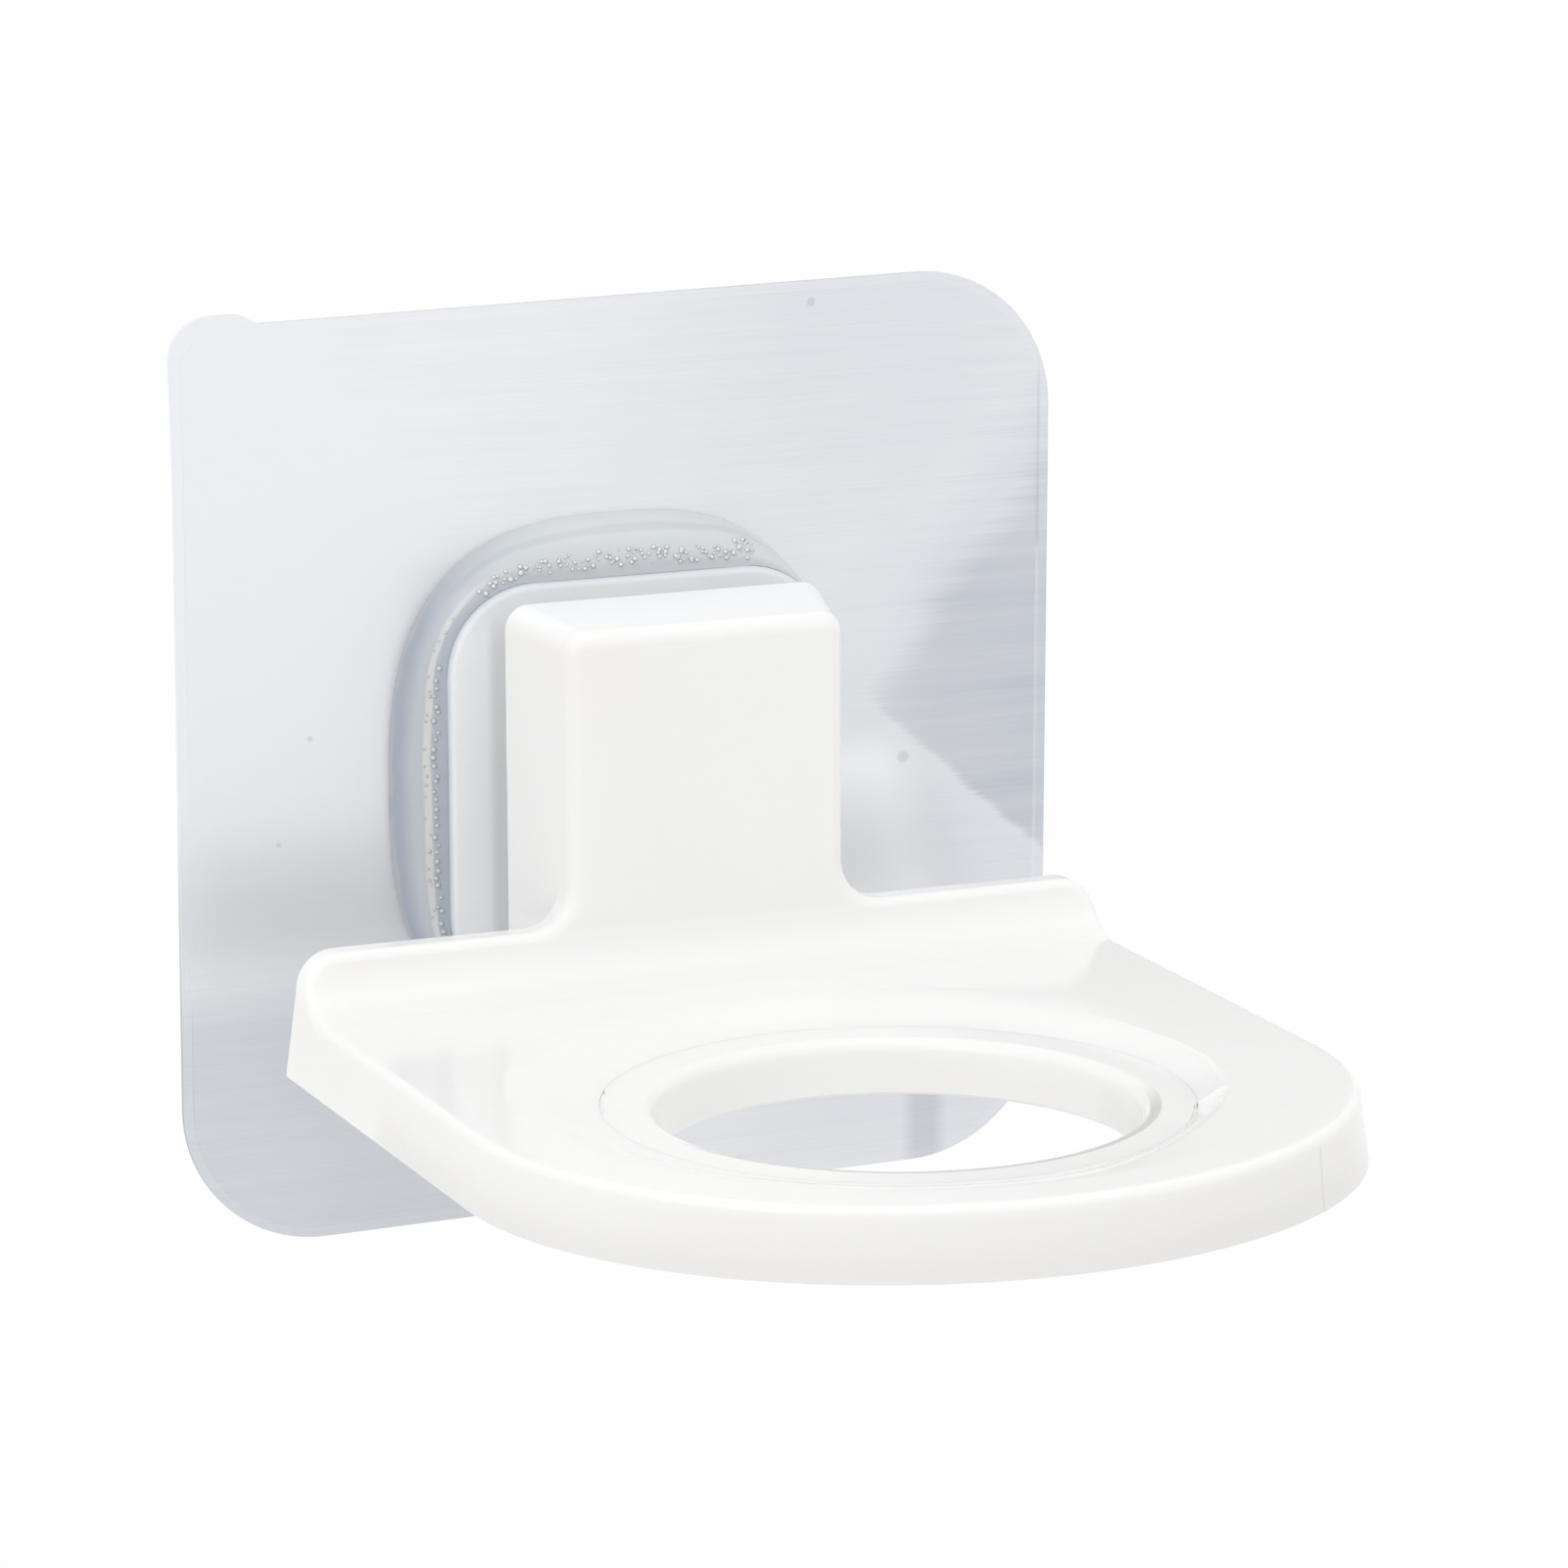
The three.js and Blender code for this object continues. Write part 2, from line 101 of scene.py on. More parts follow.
DISH_CUT = ((22.9, SHELF_TOP), (22.5, -13.15), (22.2, -13.7), (21.8, NOTCH_FLOOR))
CRISP_ANGLE, CRISP_HALF, CRISP_RAMP = -15.0, 50.0, 50.0
RING_TOP, RING_BOTTOM, RING_OUTER, RING_INNER = -14.3, -18.3, 20.62, 16.85
RING_LIP, RING_FOOT, RING_FLAT, RING_EDGE, RING_SIDE = 1.0, 18.6, 20.4, 0.01, 0.3
RING_DRAFT, RING_BEVEL, RING_STEP = 0.3, 0.2, 1.0

# Bubbles in the resin, group by group: the side of the bead, how many, first and last place along that side,
# scatter, places across the bead from 0 at its foot to 1 at the plate, and radii
BUBBLE_SEED, BALL_ROWS, BALL_COLUMNS = 11, 7, 10
BUBBLES = (("left", 34, -13.6, 8.5, 0.2, (0.79, 0.86), (0.14, 0.24)),
           ("left", 24, -13.0, 13.0, 0.6, (0.66, 0.74), (0.07, 0.15)),
           ("top", 120, -13.0, 9.5, 0.5, (0.70, 0.90), (0.09, 0.21)),
           ("top", 14, 8.6, 10.4, 0.2, (0.50, 0.80), (0.10, 0.22)))

# Colours of the finishes, how milky each film is, and the clear plate's faint glow of painted light
WHITE_DULL, WHITE_CLEAN = (0.862, 0.860, 0.848, 1), (0.89, 0.888, 0.878, 1)
# The top colour is painted light on the column's top.
WHITE_BLUSH, WHITE_LIT_TOP = (0.90, 0.86, 0.81, 1), (0.905, 0.907, 0.912, 1)
# The skirt and low colours are painted shade.
WHITE_SHADED_SKIRT, WHITE_SHADED_LOW = (0.85, 0.844, 0.83, 1), (0.78, 0.774, 0.763, 1)
# The face colour is painted light on the upstand's face; the line colour is the mould line and also painted
# shade at the hole's near lip.
WHITE_LIT_FACE, WHITE_MOULD_LINE_AND_SHADE = (0.95, 0.95, 0.945, 1), (0.45, 0.42, 0.38, 1)
# The dull silver is painted reflection and shade together with the brushing's own darker tone.
SILVER_LIGHT, SILVER_SHADE_AND_GRAIN = (0.865, 0.875, 0.905, 1), (0.465, 0.507, 0.556, 1)
# The bright silver is painted light in a patch right of the column.
SILVER_LIT_PATCH, SILVER_MILKY = (0.915, 0.93, 0.95, 1), (0.88, 0.91, 0.95, 1)
SILVER_DARK = (0.25, 0.27, 0.30, 1)
CARRIER_MILK, SILVER_MILK = 0.4, 0.0
GEL_BUBBLE, GEL_CLEAR = (0.86, 0.88, 0.88, 1), (0.74, 0.77, 0.78, 1)
# The resin's left colours are a shaded copy of its top colours, and its dark colours are painted shade.
RESIN_TOP, RESIN_SHADED_LEFT = (0.69, 0.725, 0.74, 1), (0.53, 0.57, 0.61, 1)
RESIN_SHADE_TOP, RESIN_SHADE_LEFT = (0.62, 0.65, 0.67, 1), (0.40, 0.44, 0.505, 1)
RESIN_WELD, RESIN_ROOT = (0.72, 0.73, 0.715, 1), (0.62, 0.58, 0.54, 1)
# Bubble colours: a painted highlight, brighter high up, and painted shade round the rim
BUBBLE_GLINT_LOW, BUBBLE_GLINT_HIGH = (0.66, 0.69, 0.69, 1), (0.90, 0.91, 0.90, 1)
BUBBLE_RIM_SHADE = (0.42, 0.46, 0.48, 1)
CLEAR_DULL, CLEAR_LIGHT = (0.87, 0.88, 0.90, 1), (0.95, 0.955, 0.97, 1)
# The shaded and edge colours of the clear plate are painted shade.
CLEAR_SHADED, CLEAR_EDGE_SHADE = (0.50, 0.51, 0.52, 1), (0.70, 0.74, 0.79, 1)
# The glow is painted light on the clear plate.
FACE_GLOW, EDGE_GLOW, GLOW_STRENGTH = (1, 1, 1, 1), (0.2, 0.2, 0.25, 1), 0.08

# Where a finish changes, in millimetres: from and to for a rise, and also a softness for a band. A lean is
# the way sideways for each millimetre of height
BLUSH_X, BLUSH_Z, BLUSH_REACH, BLUSH_FOOT = -8.5, 10.5, (1.0, 5.0), (2.0, 6.0)
# Where the painted light on the column's top begins
COLUMN_TOP_RISE = (12.7, 13.2)
MOULD_BAND, MOULD_TOP, MOULD_FRONT = (20.32, 20.42, 0.1), (-14.0, -13.5), (-74.0, -72.0)
# The lip band is a thin line of painted shade at the hole's near lip
LIP_BAND, LIP_FAR = (17.45, 18.05, 0.2), (HOLE_Y - 9.0, HOLE_Y - 2.0)
# Spans of the painted shade down the front skirt, and darker towards the bottom of the walls and in the hole
SKIRT_TOP, SKIRT_FRONT = (-14.3, -13.3), (-76.0, -64.0)
LOW_TOP, LOW_FRONT, LOW_RADIUS = (-19.0, -14.0), (-38.0, -34.0), (18.0, 26.0)
# Span of the painted light on the upstand's face
FACE_BAND, FACE_FRONT = (-11.5, -9.6, 1.2), (-22.5, -20.0)
# The silver's painted reflection: a dark wedge in from the right edge
WEDGE_UPPER, WEDGE_UPPER_LEAN, WEDGE_UPPER_Z = (19.0, 23.0), 0.766, 2.3
WEDGE_LOWER, WEDGE_LOWER_LEAN, WEDGE_LOWER_Z = (20.2, 21.4), 1.12, 1.9
WEDGE_VEIL, WEDGE_VEIL_X = (13.0, 20.5), (20.0, 27.0)
# The silver's patch of painted light right of the column
BRIGHT_LEFT, BRIGHT_RIGHT, BRIGHT_BAND = (10.0, 15.0), (21.0, 26.0), (-13.0, -3.0, 4.0)
BRIGHT_LEAN, BRIGHT_Z = 0.25, -6.0
STRIPE_BAND, STRIPE_TOP = (24.2, 25.4, 1.6), (-31.0, -23.0)
# The silver's painted reflection across towards the right, and painted shade low down and low on the left
ACROSS_LEAN, ACROSS_RISE = 0.3, (-22.0, 34.0)
LOWER_PART, LEFT_PART = (-22.0, -2.0), (-34.0, -15.0)
FOOT_TOP, FOOT_RIGHT = (-19.0, -13.0), (-10.0, 2.0)
HEM_BAND, HEM_HIGH, HEM_END = (34.05, 34.2, 0.12), (12.0, 15.0), (25.0, 29.0)
MILKY_LEFT, MILKY_HEIGHT = (-35.0, -32.5), (-12.0, 0.0)
FILM_SIDE = (CARRIER_FRONT + 0.03, CARRIER_FRONT + 0.08)
# Span of the painted shade down the clear plate's edge
CLEAR_EDGE_FRONT, CLEAR_EDGE_BACK = (PLATE_FACE - 0.02, PLATE_FACE + 0.25), (-1.4, -1.1)
CLEAR_RAIL = (PLATE_FACE - 0.4, PLATE_FACE - 0.1)
SHADED_BAND, SHADED_TOP, SHADED_HEAD = (-11.6, -10.2, 0.9), (10.0, 13.0), (10.5, 13.0)
# Heights over which the bubbles' painted highlight brightens
BUBBLE_HEIGHT = (9.0, 12.0)

# Specks on the film, as X, Z and size in millimetres
SPECKS = ((15.45, 33.3, 0.45), (23.0, -2.3, 0.6), (-24.8, 3.2, 0.28), (-27.4, -4.6, 0.25))

# Where the resin changes: round the bead as shares of its half size, and across it from 0 at its foot to 1 at
# the plate
# The resin's painted shade lies on its outer slope and inner edge, and its left side is the shaded side.
RESIN_LEFT_SIDE, RESIN_RIGHT_SIDE = (-0.8, 0.3), (0.45, 0.85)
RESIN_SLOPE, RESIN_LINE, RESIN_WELD_BAND = (0.03, 0.36), (0.18, 0.24, 0.06), (0.52, 0.60, 0.07)
RESIN_INNER_LEFT, RESIN_INNER_TOP, RESIN_FOOT = (0.56, 0.74), (0.66, 0.86), (0.0, 0.03)
JUST_UNDER_ONE = 0.9999

# Where the gel's dots end in their cells, and where a bubble's rim begins, as shares
GEL_DOTS, RIM_RISE = (0.1, 0.25), (0.1, 0.6)

# Camera: target and distance in metres, angles in degrees, lens and sensor in millimetres
CAMERA_TARGET, CAMERA_DISTANCE = (0.013533, 0.0, -0.003821), 0.51895
CAMERA_AZIMUTH, CAMERA_ELEVATION, CAMERA_ROLL = 22.672, 12.552, -0.208
CAMERA_LENS, CAMERA_SENSOR = 156.16, 36.0

# Studio, in metres: light of the room and what it mirrors far behind on the right, the floor, and the lamps
# as name, place, size and power in watts. The floor's glow is for what is seen of it, and its reach and its
# middle are in millimetres
ROOM_LIGHT, DULL_COLOUR, DULL_SIDE = 0.985, (0.54, 0.57, 0.56), (0.381, 0.911, 0.156)
DULL_REACH = (0.965, 0.992)
FLOOR_Z, FLOOR_HALF, FLOOR_COLOUR = -0.3, 6.0, (0.78, 0.78, 0.78)
GLOW_NEAR, GLOW_MORE, GLOW_REACH, GLOW_Y = 0.7, 0.27, (150.0, 900.0), -40.0
LAMP_AIM = (0, -0.03, 0)
LAMPS = (("key_lamp", (-0.8, -0.5, 0.75), 0.8, 2.0),
         ("top_lamp", (0.1, -0.3, 1.1), 0.9, 0.85),
         ("fill_lamp", (0.8, -0.6, 0.3), 0.8, 0.2))


class Skin:
    """Grids and flat caps of one piece, gathered as points and faces in millimetres."""

    def __init__(self):
        self.points, self.faces, self.count = [], [], 0

    def add(self, points, faces):
        self.points.append(points)
        self.faces.extend((faces + self.count).tolist())
        self.count += len(points)

    def grid(self, points, around=False):
        """A rows by columns grid of points as quads, closed across its columns where it goes around. Several
        grids of one size can come stacked."""
        index = np.arange(points.size // 3).reshape(points.shape[:-1])
        if around:
            index = np.concatenate([index, index[..., :1]], axis=-1)
        quads = np.stack([index[..., :-1, :-1], index[..., :-1, 1:], index[..., 1:, 1:], index[..., 1:, :-1]],
                         axis=-1)
        self.add(points.reshape(-1, 3), quads.reshape(-1, 4))

    def cap(self, loop):
        """A flat face with the loop as its edge."""
        self.add(loop, np.arange(len(loop))[None])

    def piece(self, name, material, body, slot, node=None, sharp=35.0):
        """The finished object: doubles merged, faces turned outwards, smooth but for sharp edges."""
        mesh = bpy.data.meshes.new(name)
        mesh.from_pydata(np.concatenate(self.points) * MM, [], self.faces)
        work = bmesh.new()
        work.from_mesh(mesh)
        bmesh.ops.remove_doubles(work, verts=work.verts, dist=MERGE_DISTANCE)
        bmesh.ops.dissolve_degenerate(work, edges=work.edges, dist=NIL_LENGTH)
        bmesh.ops.recalc_face_normals(work, faces=work.faces)
        work.to_mesh(mesh)
        work.free()
        mesh.shade_smooth()
        mesh.set_sharp_from_angle(angle=math.radians(sharp))
        piece = bpy.data.objects.new(name, mesh)
        bpy.context.scene.collection.objects.link(piece)
        weighted = piece.modifiers.new("flat_faces_stay_flat", "WEIGHTED_NORMAL")
        weighted.keep_sharp = True
        weighted.weight = FLAT_WEIGHT
        mesh.materials.append(material)
        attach(piece, body)
        if node:
            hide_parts(node)
        return piece


def arc(centre_x, centre_y, radius, start, end, steps):
    """Points of a circle's arc between two angles in degrees, and the outward directions there."""
    angle = np.radians(np.linspace(start, end, steps + 1))
    out = np.stack([np.cos(angle), np.sin(angle)], axis=-1)
    return np.array([centre_x, centre_y]) + radius * out, out


def mirrored(points):
    """The same points on the left, in the opposite order."""
    return points[::-1] * np.array([-1.0] + [1.0] * (points.shape[-1] - 1))


def side_x(z):
    """Half width of the bracket's drafted end at a height."""
    return SIDE_X - DRAFT * (z - SHELF_TOP)


def profile(s):
    """The shelf's top bent up into the column's front. A length s along it gives Y, Z and the outward
    direction: flat for s below 0, a quarter circle of the sweep's radius, then straight up."""
    turn = np.clip(s / SWEEP, 0, math.pi / 2)
    y = SWEEP_Y + np.minimum(s, 0) + SWEEP * np.sin(turn)
    z = SHELF_TOP + SWEEP * (1 - np.cos(turn)) + np.maximum(s - SWEEP_LENGTH, 0)
    return y, z, -np.sin(turn), np.cos(turn)


def length_at(z):
    """The length along the bent profile that lies at a height."""
    turn = np.arccos(np.clip(1 - (z - SHELF_TOP) / SWEEP, 0, 1))
    return turn * SWEEP + np.maximum(z - SHELF_TOP - SWEEP, 0)


def bent(spots, out, inset, depth):
    """Spots (x, s) of the unrolled sheet, moved in from its edge, bent along the profile and sunk to a
    depth under it. The draft moves the level stretches out as they go down."""
    _, _, _, out_z = profile(spots[:, 1])
    moved = spots - out * (inset - DRAFT * out_z * depth)[:, None]
    y, z, out_y, out_z = profile(moved[:, 1])
    return np.stack([moved[:, 0], y - out_y * depth, z - out_z * depth], axis=-1)


def stacked(x, y, z):
    """Points from their X, Y and Z, any of which can be one value for all."""
    return np.stack(np.broadcast_arrays(np.asarray(x, float), y, z), axis=-1)


def half_outline():
    """The right half of the unrolled sheet's edge, from the nose to the middle of the column's top: spots
    (x, s), outward directions, edge radii, and the far end of the wall that falls from each spot."""
    spots, outs, radii, feet = [], [], [], []

    def run(x, s, out, radius, foot):
        x = np.asarray(x, float)
        keep = slice(1 if spots else 0, None)
        s = np.broadcast_to(np.asarray(s, float), x.shape)
        spots.append(np.stack([x, s], axis=-1)[keep])
        outs.append(np.broadcast_to(np.asarray(out, float), (len(x), 2))[keep])
        radii.append(np.broadcast_to(np.asarray(radius, float), x.shape)[keep])
        feet.append(foot[keep])

    # Round the nose, a quarter of an ellipse
    angle = np.radians(np.linspace(-90, 0, NOSE_STEPS))
    out = np.stack([np.cos(angle) / SIDE_X, np.sin(angle) / NOSE_DEPTH], axis=-1)
    out /= np.linalg.norm(out, axis=1, keepdims=True)
    nose = np.stack([SIDE_X * np.cos(angle), NOSE_Y + NOSE_DEPTH * np.sin(angle)], axis=-1)
    foot = nose + out * DRAFT * SHELF_DEPTH
    run(nose[:, 0], nose[:, 1] - SWEEP_Y, out, SHELF_EDGE, stacked(foot[:, 0], foot[:, 1], SHELF_BOTTOM))

    # Back along the shelf's side
    y = np.concatenate([np.linspace(NOSE_Y, JOIN_Y, SIDE_STEPS),
                        np.linspace(JOIN_Y, SWEEP_Y, JOIN_STEPS)[1:]])
    foot = stacked(side_x(SHELF_BOTTOM), y, SHELF_BOTTOM)
    run(np.full_like(y, SIDE_X), y - SWEEP_Y, (1, 0), SHELF_EDGE, foot)
    join = NOSE_STEPS + SIDE_STEPS - 2

    # Up the upstand's end. Its foot goes on along the shelf's bottom, and then up the back edge
    corner_z = UPSTAND_TOP - UPSTAND_CORNER
    below, behind = SHELF_BACK - SWEEP_Y, corner_z - SHELF_BOTTOM
    share = below / (below + behind)
    part = np.concatenate([np.linspace(0, share, BELOW_STEPS), np.linspace(share, 1, BEHIND_STEPS)[1:]])
    s = part * length_at(np.array(corner_z))
    walked = part * (below + behind)
    foot_y = SWEEP_Y + np.minimum(walked, below)
    foot_z = SHELF_BOTTOM + np.maximum(walked - below, 0)
    run(side_x(profile(s)[1]), s, (1, 0), SHELF_EDGE + (UPSTAND_EDGE - SHELF_EDGE) * part,
        stacked(side_x(foot_z), foot_y, foot_z))
    back_corner = sum(len(block) for block in spots) - BEHIND_STEPS

    # Over the upstand's corner
    corner_x = side_x(corner_z) - UPSTAND_CORNER
    points, out = arc(corner_x, corner_z, UPSTAND_CORNER, 0, 90, UPSTAND_CORNER_STEPS)
    s = length_at(points[:, 1])
    steep = np.maximum(-profile(s)[2], LEAST_STEEP)
    out = np.stack([out[:, 0], out[:, 1] * steep], axis=-1)
    out /= np.linalg.norm(out, axis=1, keepdims=True)
    run(points[:, 0], s, out, UPSTAND_EDGE, stacked(points[:, 0], SHELF_BACK, points[:, 1]))

    # In along the upstand's top
    fillet_x, fillet_z = COLUMN_FRONT_HALF + NECK_FILLET, UPSTAND_TOP + NECK_FILLET
    x = np.linspace(corner_x, fillet_x, UPSTAND_STEPS)
    run(x, length_at(np.array(UPSTAND_TOP)), (0, 1), UPSTAND_EDGE, stacked(x, SHELF_BACK, UPSTAND_TOP))

    # Up the fillet of the neck
    points, out = arc(fillet_x, fillet_z, NECK_FILLET, 270, 180, FILLET_STEPS)
    shrink = (fillet_x - neck_x()) / NECK_FILLET
    run(points[:, 0], length_at(points[:, 1]), -out, np.linspace(UPSTAND_EDGE, COLUMN_EDGE, len(points)),
        stacked(fillet_x - (fillet_x - points[:, 0]) * shrink, SHELF_BACK, points[:, 1]))
    neck = sum(len(block) for block in spots) - 1

    # Up the column's side
    level = length_at(np.array(0.0))
    z = np.linspace(fillet_z, COLUMN_FRONT_TOP - COLUMN_FRONT_CORNER, COLUMN_STEPS)
    back_z = np.linspace(fillet_z, COLUMN_BACK_TOP - COLUMN_BACK_CORNER, COLUMN_STEPS)
    run(np.full_like(z, COLUMN_FRONT_HALF), level + z, (1, 0), COLUMN_EDGE,
        stacked(COLUMN_BACK_HALF, COLUMN_BACK, back_z))

    # Over the column's corner
    points, out = arc(COLUMN_FRONT_HALF - COLUMN_FRONT_CORNER, COLUMN_FRONT_TOP - COLUMN_FRONT_CORNER,
                      COLUMN_FRONT_CORNER, 0, 90, COLUMN_CORNER_STEPS)
    back, _ = arc(COLUMN_BACK_HALF - COLUMN_BACK_CORNER, COLUMN_BACK_TOP - COLUMN_BACK_CORNER,
                  COLUMN_BACK_CORNER, 0, 90, COLUMN_CORNER_STEPS)
    run(points[:, 0], level + points[:, 1], out, COLUMN_EDGE, stacked(back[:, 0], COLUMN_BACK, back[:, 1]))

    # In along the column's top
    x = np.linspace(points[-1, 0], 0, COLUMN_TOP_STEPS)
    back_x = np.linspace(back[-1, 0], 0, COLUMN_TOP_STEPS)
    run(x, level + COLUMN_FRONT_TOP, (0, 1), COLUMN_EDGE, stacked(back_x, COLUMN_BACK, COLUMN_BACK_TOP))
    joined = [np.concatenate(block) for block in (spots, outs, radii, feet)]
    return joined, join, back_corner, neck


def neck_share():
    """How far back along the column's side the upstand's back face lies."""
    start = FRONT_Y + COLUMN_EDGE
    return (SHELF_BACK - start) / (COLUMN_BACK - start)


def neck_x():
    """Half width of the column where the upstand's back face meets it."""
    return COLUMN_FRONT_HALF + (COLUMN_BACK_HALF - COLUMN_FRONT_HALF) * neck_share()


def slot_section():
    """The T-shaped slot in plan, with its running gap round the rail."""
    stem, head = STEM_HALF + RUNNING_GAP, HEAD_HALF + RUNNING_GAP
    back, front = HEAD_BACK + RUNNING_GAP, HEAD_FRONT - RUNNING_GAP
    right = np.array([[stem, COLUMN_BACK], [stem, back], [head, back], [head, front]])
    return np.concatenate([right, mirrored(right)])


def at_height(plan, z):
    """Points in plan lifted to a height."""
    return np.concatenate([plan, np.full((len(plan), 1), float(z))], axis=1)


def around_hole(points, radius, z):
    """Spots on a circle round the bottle hole, each in the direction of one of the points."""
    angle = np.arctan2(points[:, 1] - HOLE_Y, points[:, 0])
    return at_height(np.stack([radius * np.cos(angle), HOLE_Y + radius * np.sin(angle)], axis=-1), z)


def blended(first, last, rows):
    """A grid of straight lines from each point of one loop to its fellow in another."""
    share = np.linspace(0, 1, rows)[:, None, None]
    return first * (1 - share) + last * share


def add_underside(skin, skirt_foot, skirt_out, back_x):
    """The open underside: the foot of the skirt, moved in by the wall's thickness, up to the ceiling inside,
    and from there in to the hub round the bottle hole."""
    corner = side_x(SHELF_BOTTOM)
    rows = []
    ceiling_inset = WALL + DRAFT * (SHELF_DEPTH - WALL)
    for height, inset in ((SHELF_BOTTOM, 0.0), (SHELF_BOTTOM, WALL), (CEILING, ceiling_inset)):
        wall = np.stack([skirt_foot[:, 0] - skirt_out[:, 0] * inset,
                         skirt_foot[:, 1] - skirt_out[:, 1] * inset], axis=-1)
        depth = SHELF_BACK if inset == 0 else FRONT_Y
        wall[:, 1] = np.minimum(wall[:, 1], depth)
        back = np.stack([back_x * (corner - inset) / corner, np.full(len(back_x), depth)], axis=-1)
        rows.append(at_height(np.concatenate([mirrored(wall)[:-1], wall, back]), height))
    skin.grid(np.stack(rows), around=True)
    skin.grid(blended(rows[-1], around_hole(rows[-1], HUB_RADIUS, CEILING), CEILING_RINGS), around=True)


def add_ribs(skin):
    """Two ribs under the shelf, boxes from the hub to the back wall."""
    near, far = HOLE_Y + RIB_NEAR, FRONT_Y + RIB_SUNK
    for rib in (-RIB_X, RIB_X):
        low, high = rib - RIB_HALF, rib + RIB_HALF
        plan = np.array([[low, near], [high, near], [high, far], [low, far]])
        ends = [at_height(plan, SHELF_BOTTOM + RIB_FOOT), at_height(plan, CEILING + RIB_HEAD)]
        skin.grid(np.stack(ends), around=True)
        skin.cap(ends[0])
        skin.cap(ends[1])


def add_seat(skin, rim):
    """The dish round the bottle hole, the ring's seat and ledge, and the hub, as profiles turned in the
    directions of the shelf's rim."""
    seat = [(SEAT_RADIUS, LEDGE_TOP), (LEDGE_RADIUS, LEDGE_TOP), (LEDGE_RADIUS, SHELF_BOTTOM),
            (HUB_RADIUS, SHELF_BOTTOM), (HUB_RADIUS, CEILING)]
    soft, crisp, cut = [[(RECESS_RADIUS, SHELF_TOP), *dish, (SEAT_RADIUS, foot), *seat]
                        for dish, foot in ((DISH_SOFT, BEVEL_FOOT), (DISH_CRISP, BEVEL_FOOT),
                                           (DISH_CUT, NOTCH_FLOOR))]
    angle = np.degrees(np.arctan2(rim[:, 1] - HOLE_Y, rim[:, 0]))
    skin.grid(turned(angle, soft, crisp, [(NOTCH_ANGLES[0], cut)]), around=True)


def bracket_skin():
    """The moulding as a bent sheet. Its edge is rounded by a quarter circle: at the angle a the surface is
    inset by r(1 - cos a) and sunk by r(1 - sin a). Walls fall from there to the shelf's foot, the upstand's
    back and the column's back, and the underside, the rail slot and the seat close it."""
    (spots, outs, radii, feet), join, back_corner, neck = half_outline()
    skin = Skin()
    angles = np.radians(np.linspace(90, 0, EDGE_STEPS))
    right = np.stack([bent(spots, outs, radii * (1 - np.cos(a)), radii * (1 - np.sin(a))) for a in angles])
    left = np.stack([mirrored(row) for row in right])
    skin.grid(np.concatenate([right, left[:, 1:-1]], axis=1), around=True)

    # Walls from the rounded edge, round the shelf and the upstand and then back along the column
    edge = right[-1]
    skin.grid(np.concatenate([
        np.stack([mirrored(edge[:neck + 1])[:-1], mirrored(feet[:neck + 1])[:-1]]),
        np.stack([edge[:neck + 1], feet[:neck + 1]])], axis=1))
    column_feet = feet[neck:].copy()
    column_feet[0] = (COLUMN_BACK_HALF, COLUMN_BACK, feet[neck, 2])
    shares = np.array([0, neck_share(), FLANK_SHARE, 1])[:, None, None]
    walls = edge[neck:] * (1 - shares) + column_feet * shares
    skin.grid(np.concatenate([walls, np.stack([mirrored(row) for row in walls])[:, 1:]], axis=1))

    # The face of the sheet: the bent strip, the column's front and the shelf's top
    inner = right[0]
    top_row = int(np.argmax(spots[:, 1] - outs[:, 1] * radii >= SWEEP_LENGTH))
    across = np.linspace(-1, 1, ACROSS_STEPS)[None, :, None] * np.array([1.0, 0, 0]) + np.array([0, 1.0, 1.0])
    strip = inner[join:top_row + 1, None, :] * across
    skin.grid(strip)
    front = np.concatenate([inner[top_row:], mirrored(inner[top_row:])[1:], strip[-1, 1:-1]])
    skin.cap(front)
    rim = np.concatenate([mirrored(inner[:join + 1])[:-1], inner[:join + 1], strip[0, ::-1][1:-1]])
    skin.grid(blended(around_hole(rim, RECESS_RADIUS, SHELF_TOP), rim, SHELF_RINGS), around=True)

    wing_x = np.linspace(side_x(SHELF_BOTTOM), neck_x(), WING_STEPS)
    middle_x = np.linspace(neck_x(), -neck_x(), MIDDLE_STEPS)
    back_x = np.concatenate([wing_x[1:], middle_x[1:], -wing_x[::-1][1:-1]])
    add_underside(skin, feet[:back_corner + 1], outs[:back_corner + 1], back_x)

    # The upstand's back, the column's lower flanks, the rail slot, and the column's bottom and back
    neck_foot = np.array([[neck_x(), SHELF_BACK, SHELF_BOTTOM]])
    back_line = stacked(wing_x[::-1], SHELF_BACK, SHELF_BOTTOM)[1:-1]
    back_face = np.concatenate([feet[back_corner:neck + 1], neck_foot, back_line])
    flank = walls[1:, 0]
    flank_low = flank * np.array([1.0, 1, 0]) + np.array([0, 0, SHELF_BOTTOM])
    for flip in (np.array([1.0, 1, 1]), np.array([-1.0, 1, 1])):
        skin.cap(back_face * flip)
        skin.grid(np.stack([flank, flank_low]) * flip)
    section = slot_section()
    slot_low, slot_high = at_height(section, SHELF_BOTTOM), at_height(section, RAIL_TOP)
    skin.grid(np.stack([slot_low, slot_high]))
    skin.cap(slot_high)
    middle = stacked(middle_x, SHELF_BACK, SHELF_BOTTOM)[1:-1]
    skin.cap(np.concatenate([middle, mirrored(flank_low)[::-1], slot_low[::-1], flank_low[::-1]]))
    skin.cap(np.concatenate([column_feet, mirrored(column_feet)[1:], mirrored(flank_low[-1:]),
                             slot_low[-1:], slot_high[[-1, 0]], slot_low[:1], flank_low[-1:]]))
    add_ribs(skin)
    add_seat(skin, rim)
    return skin


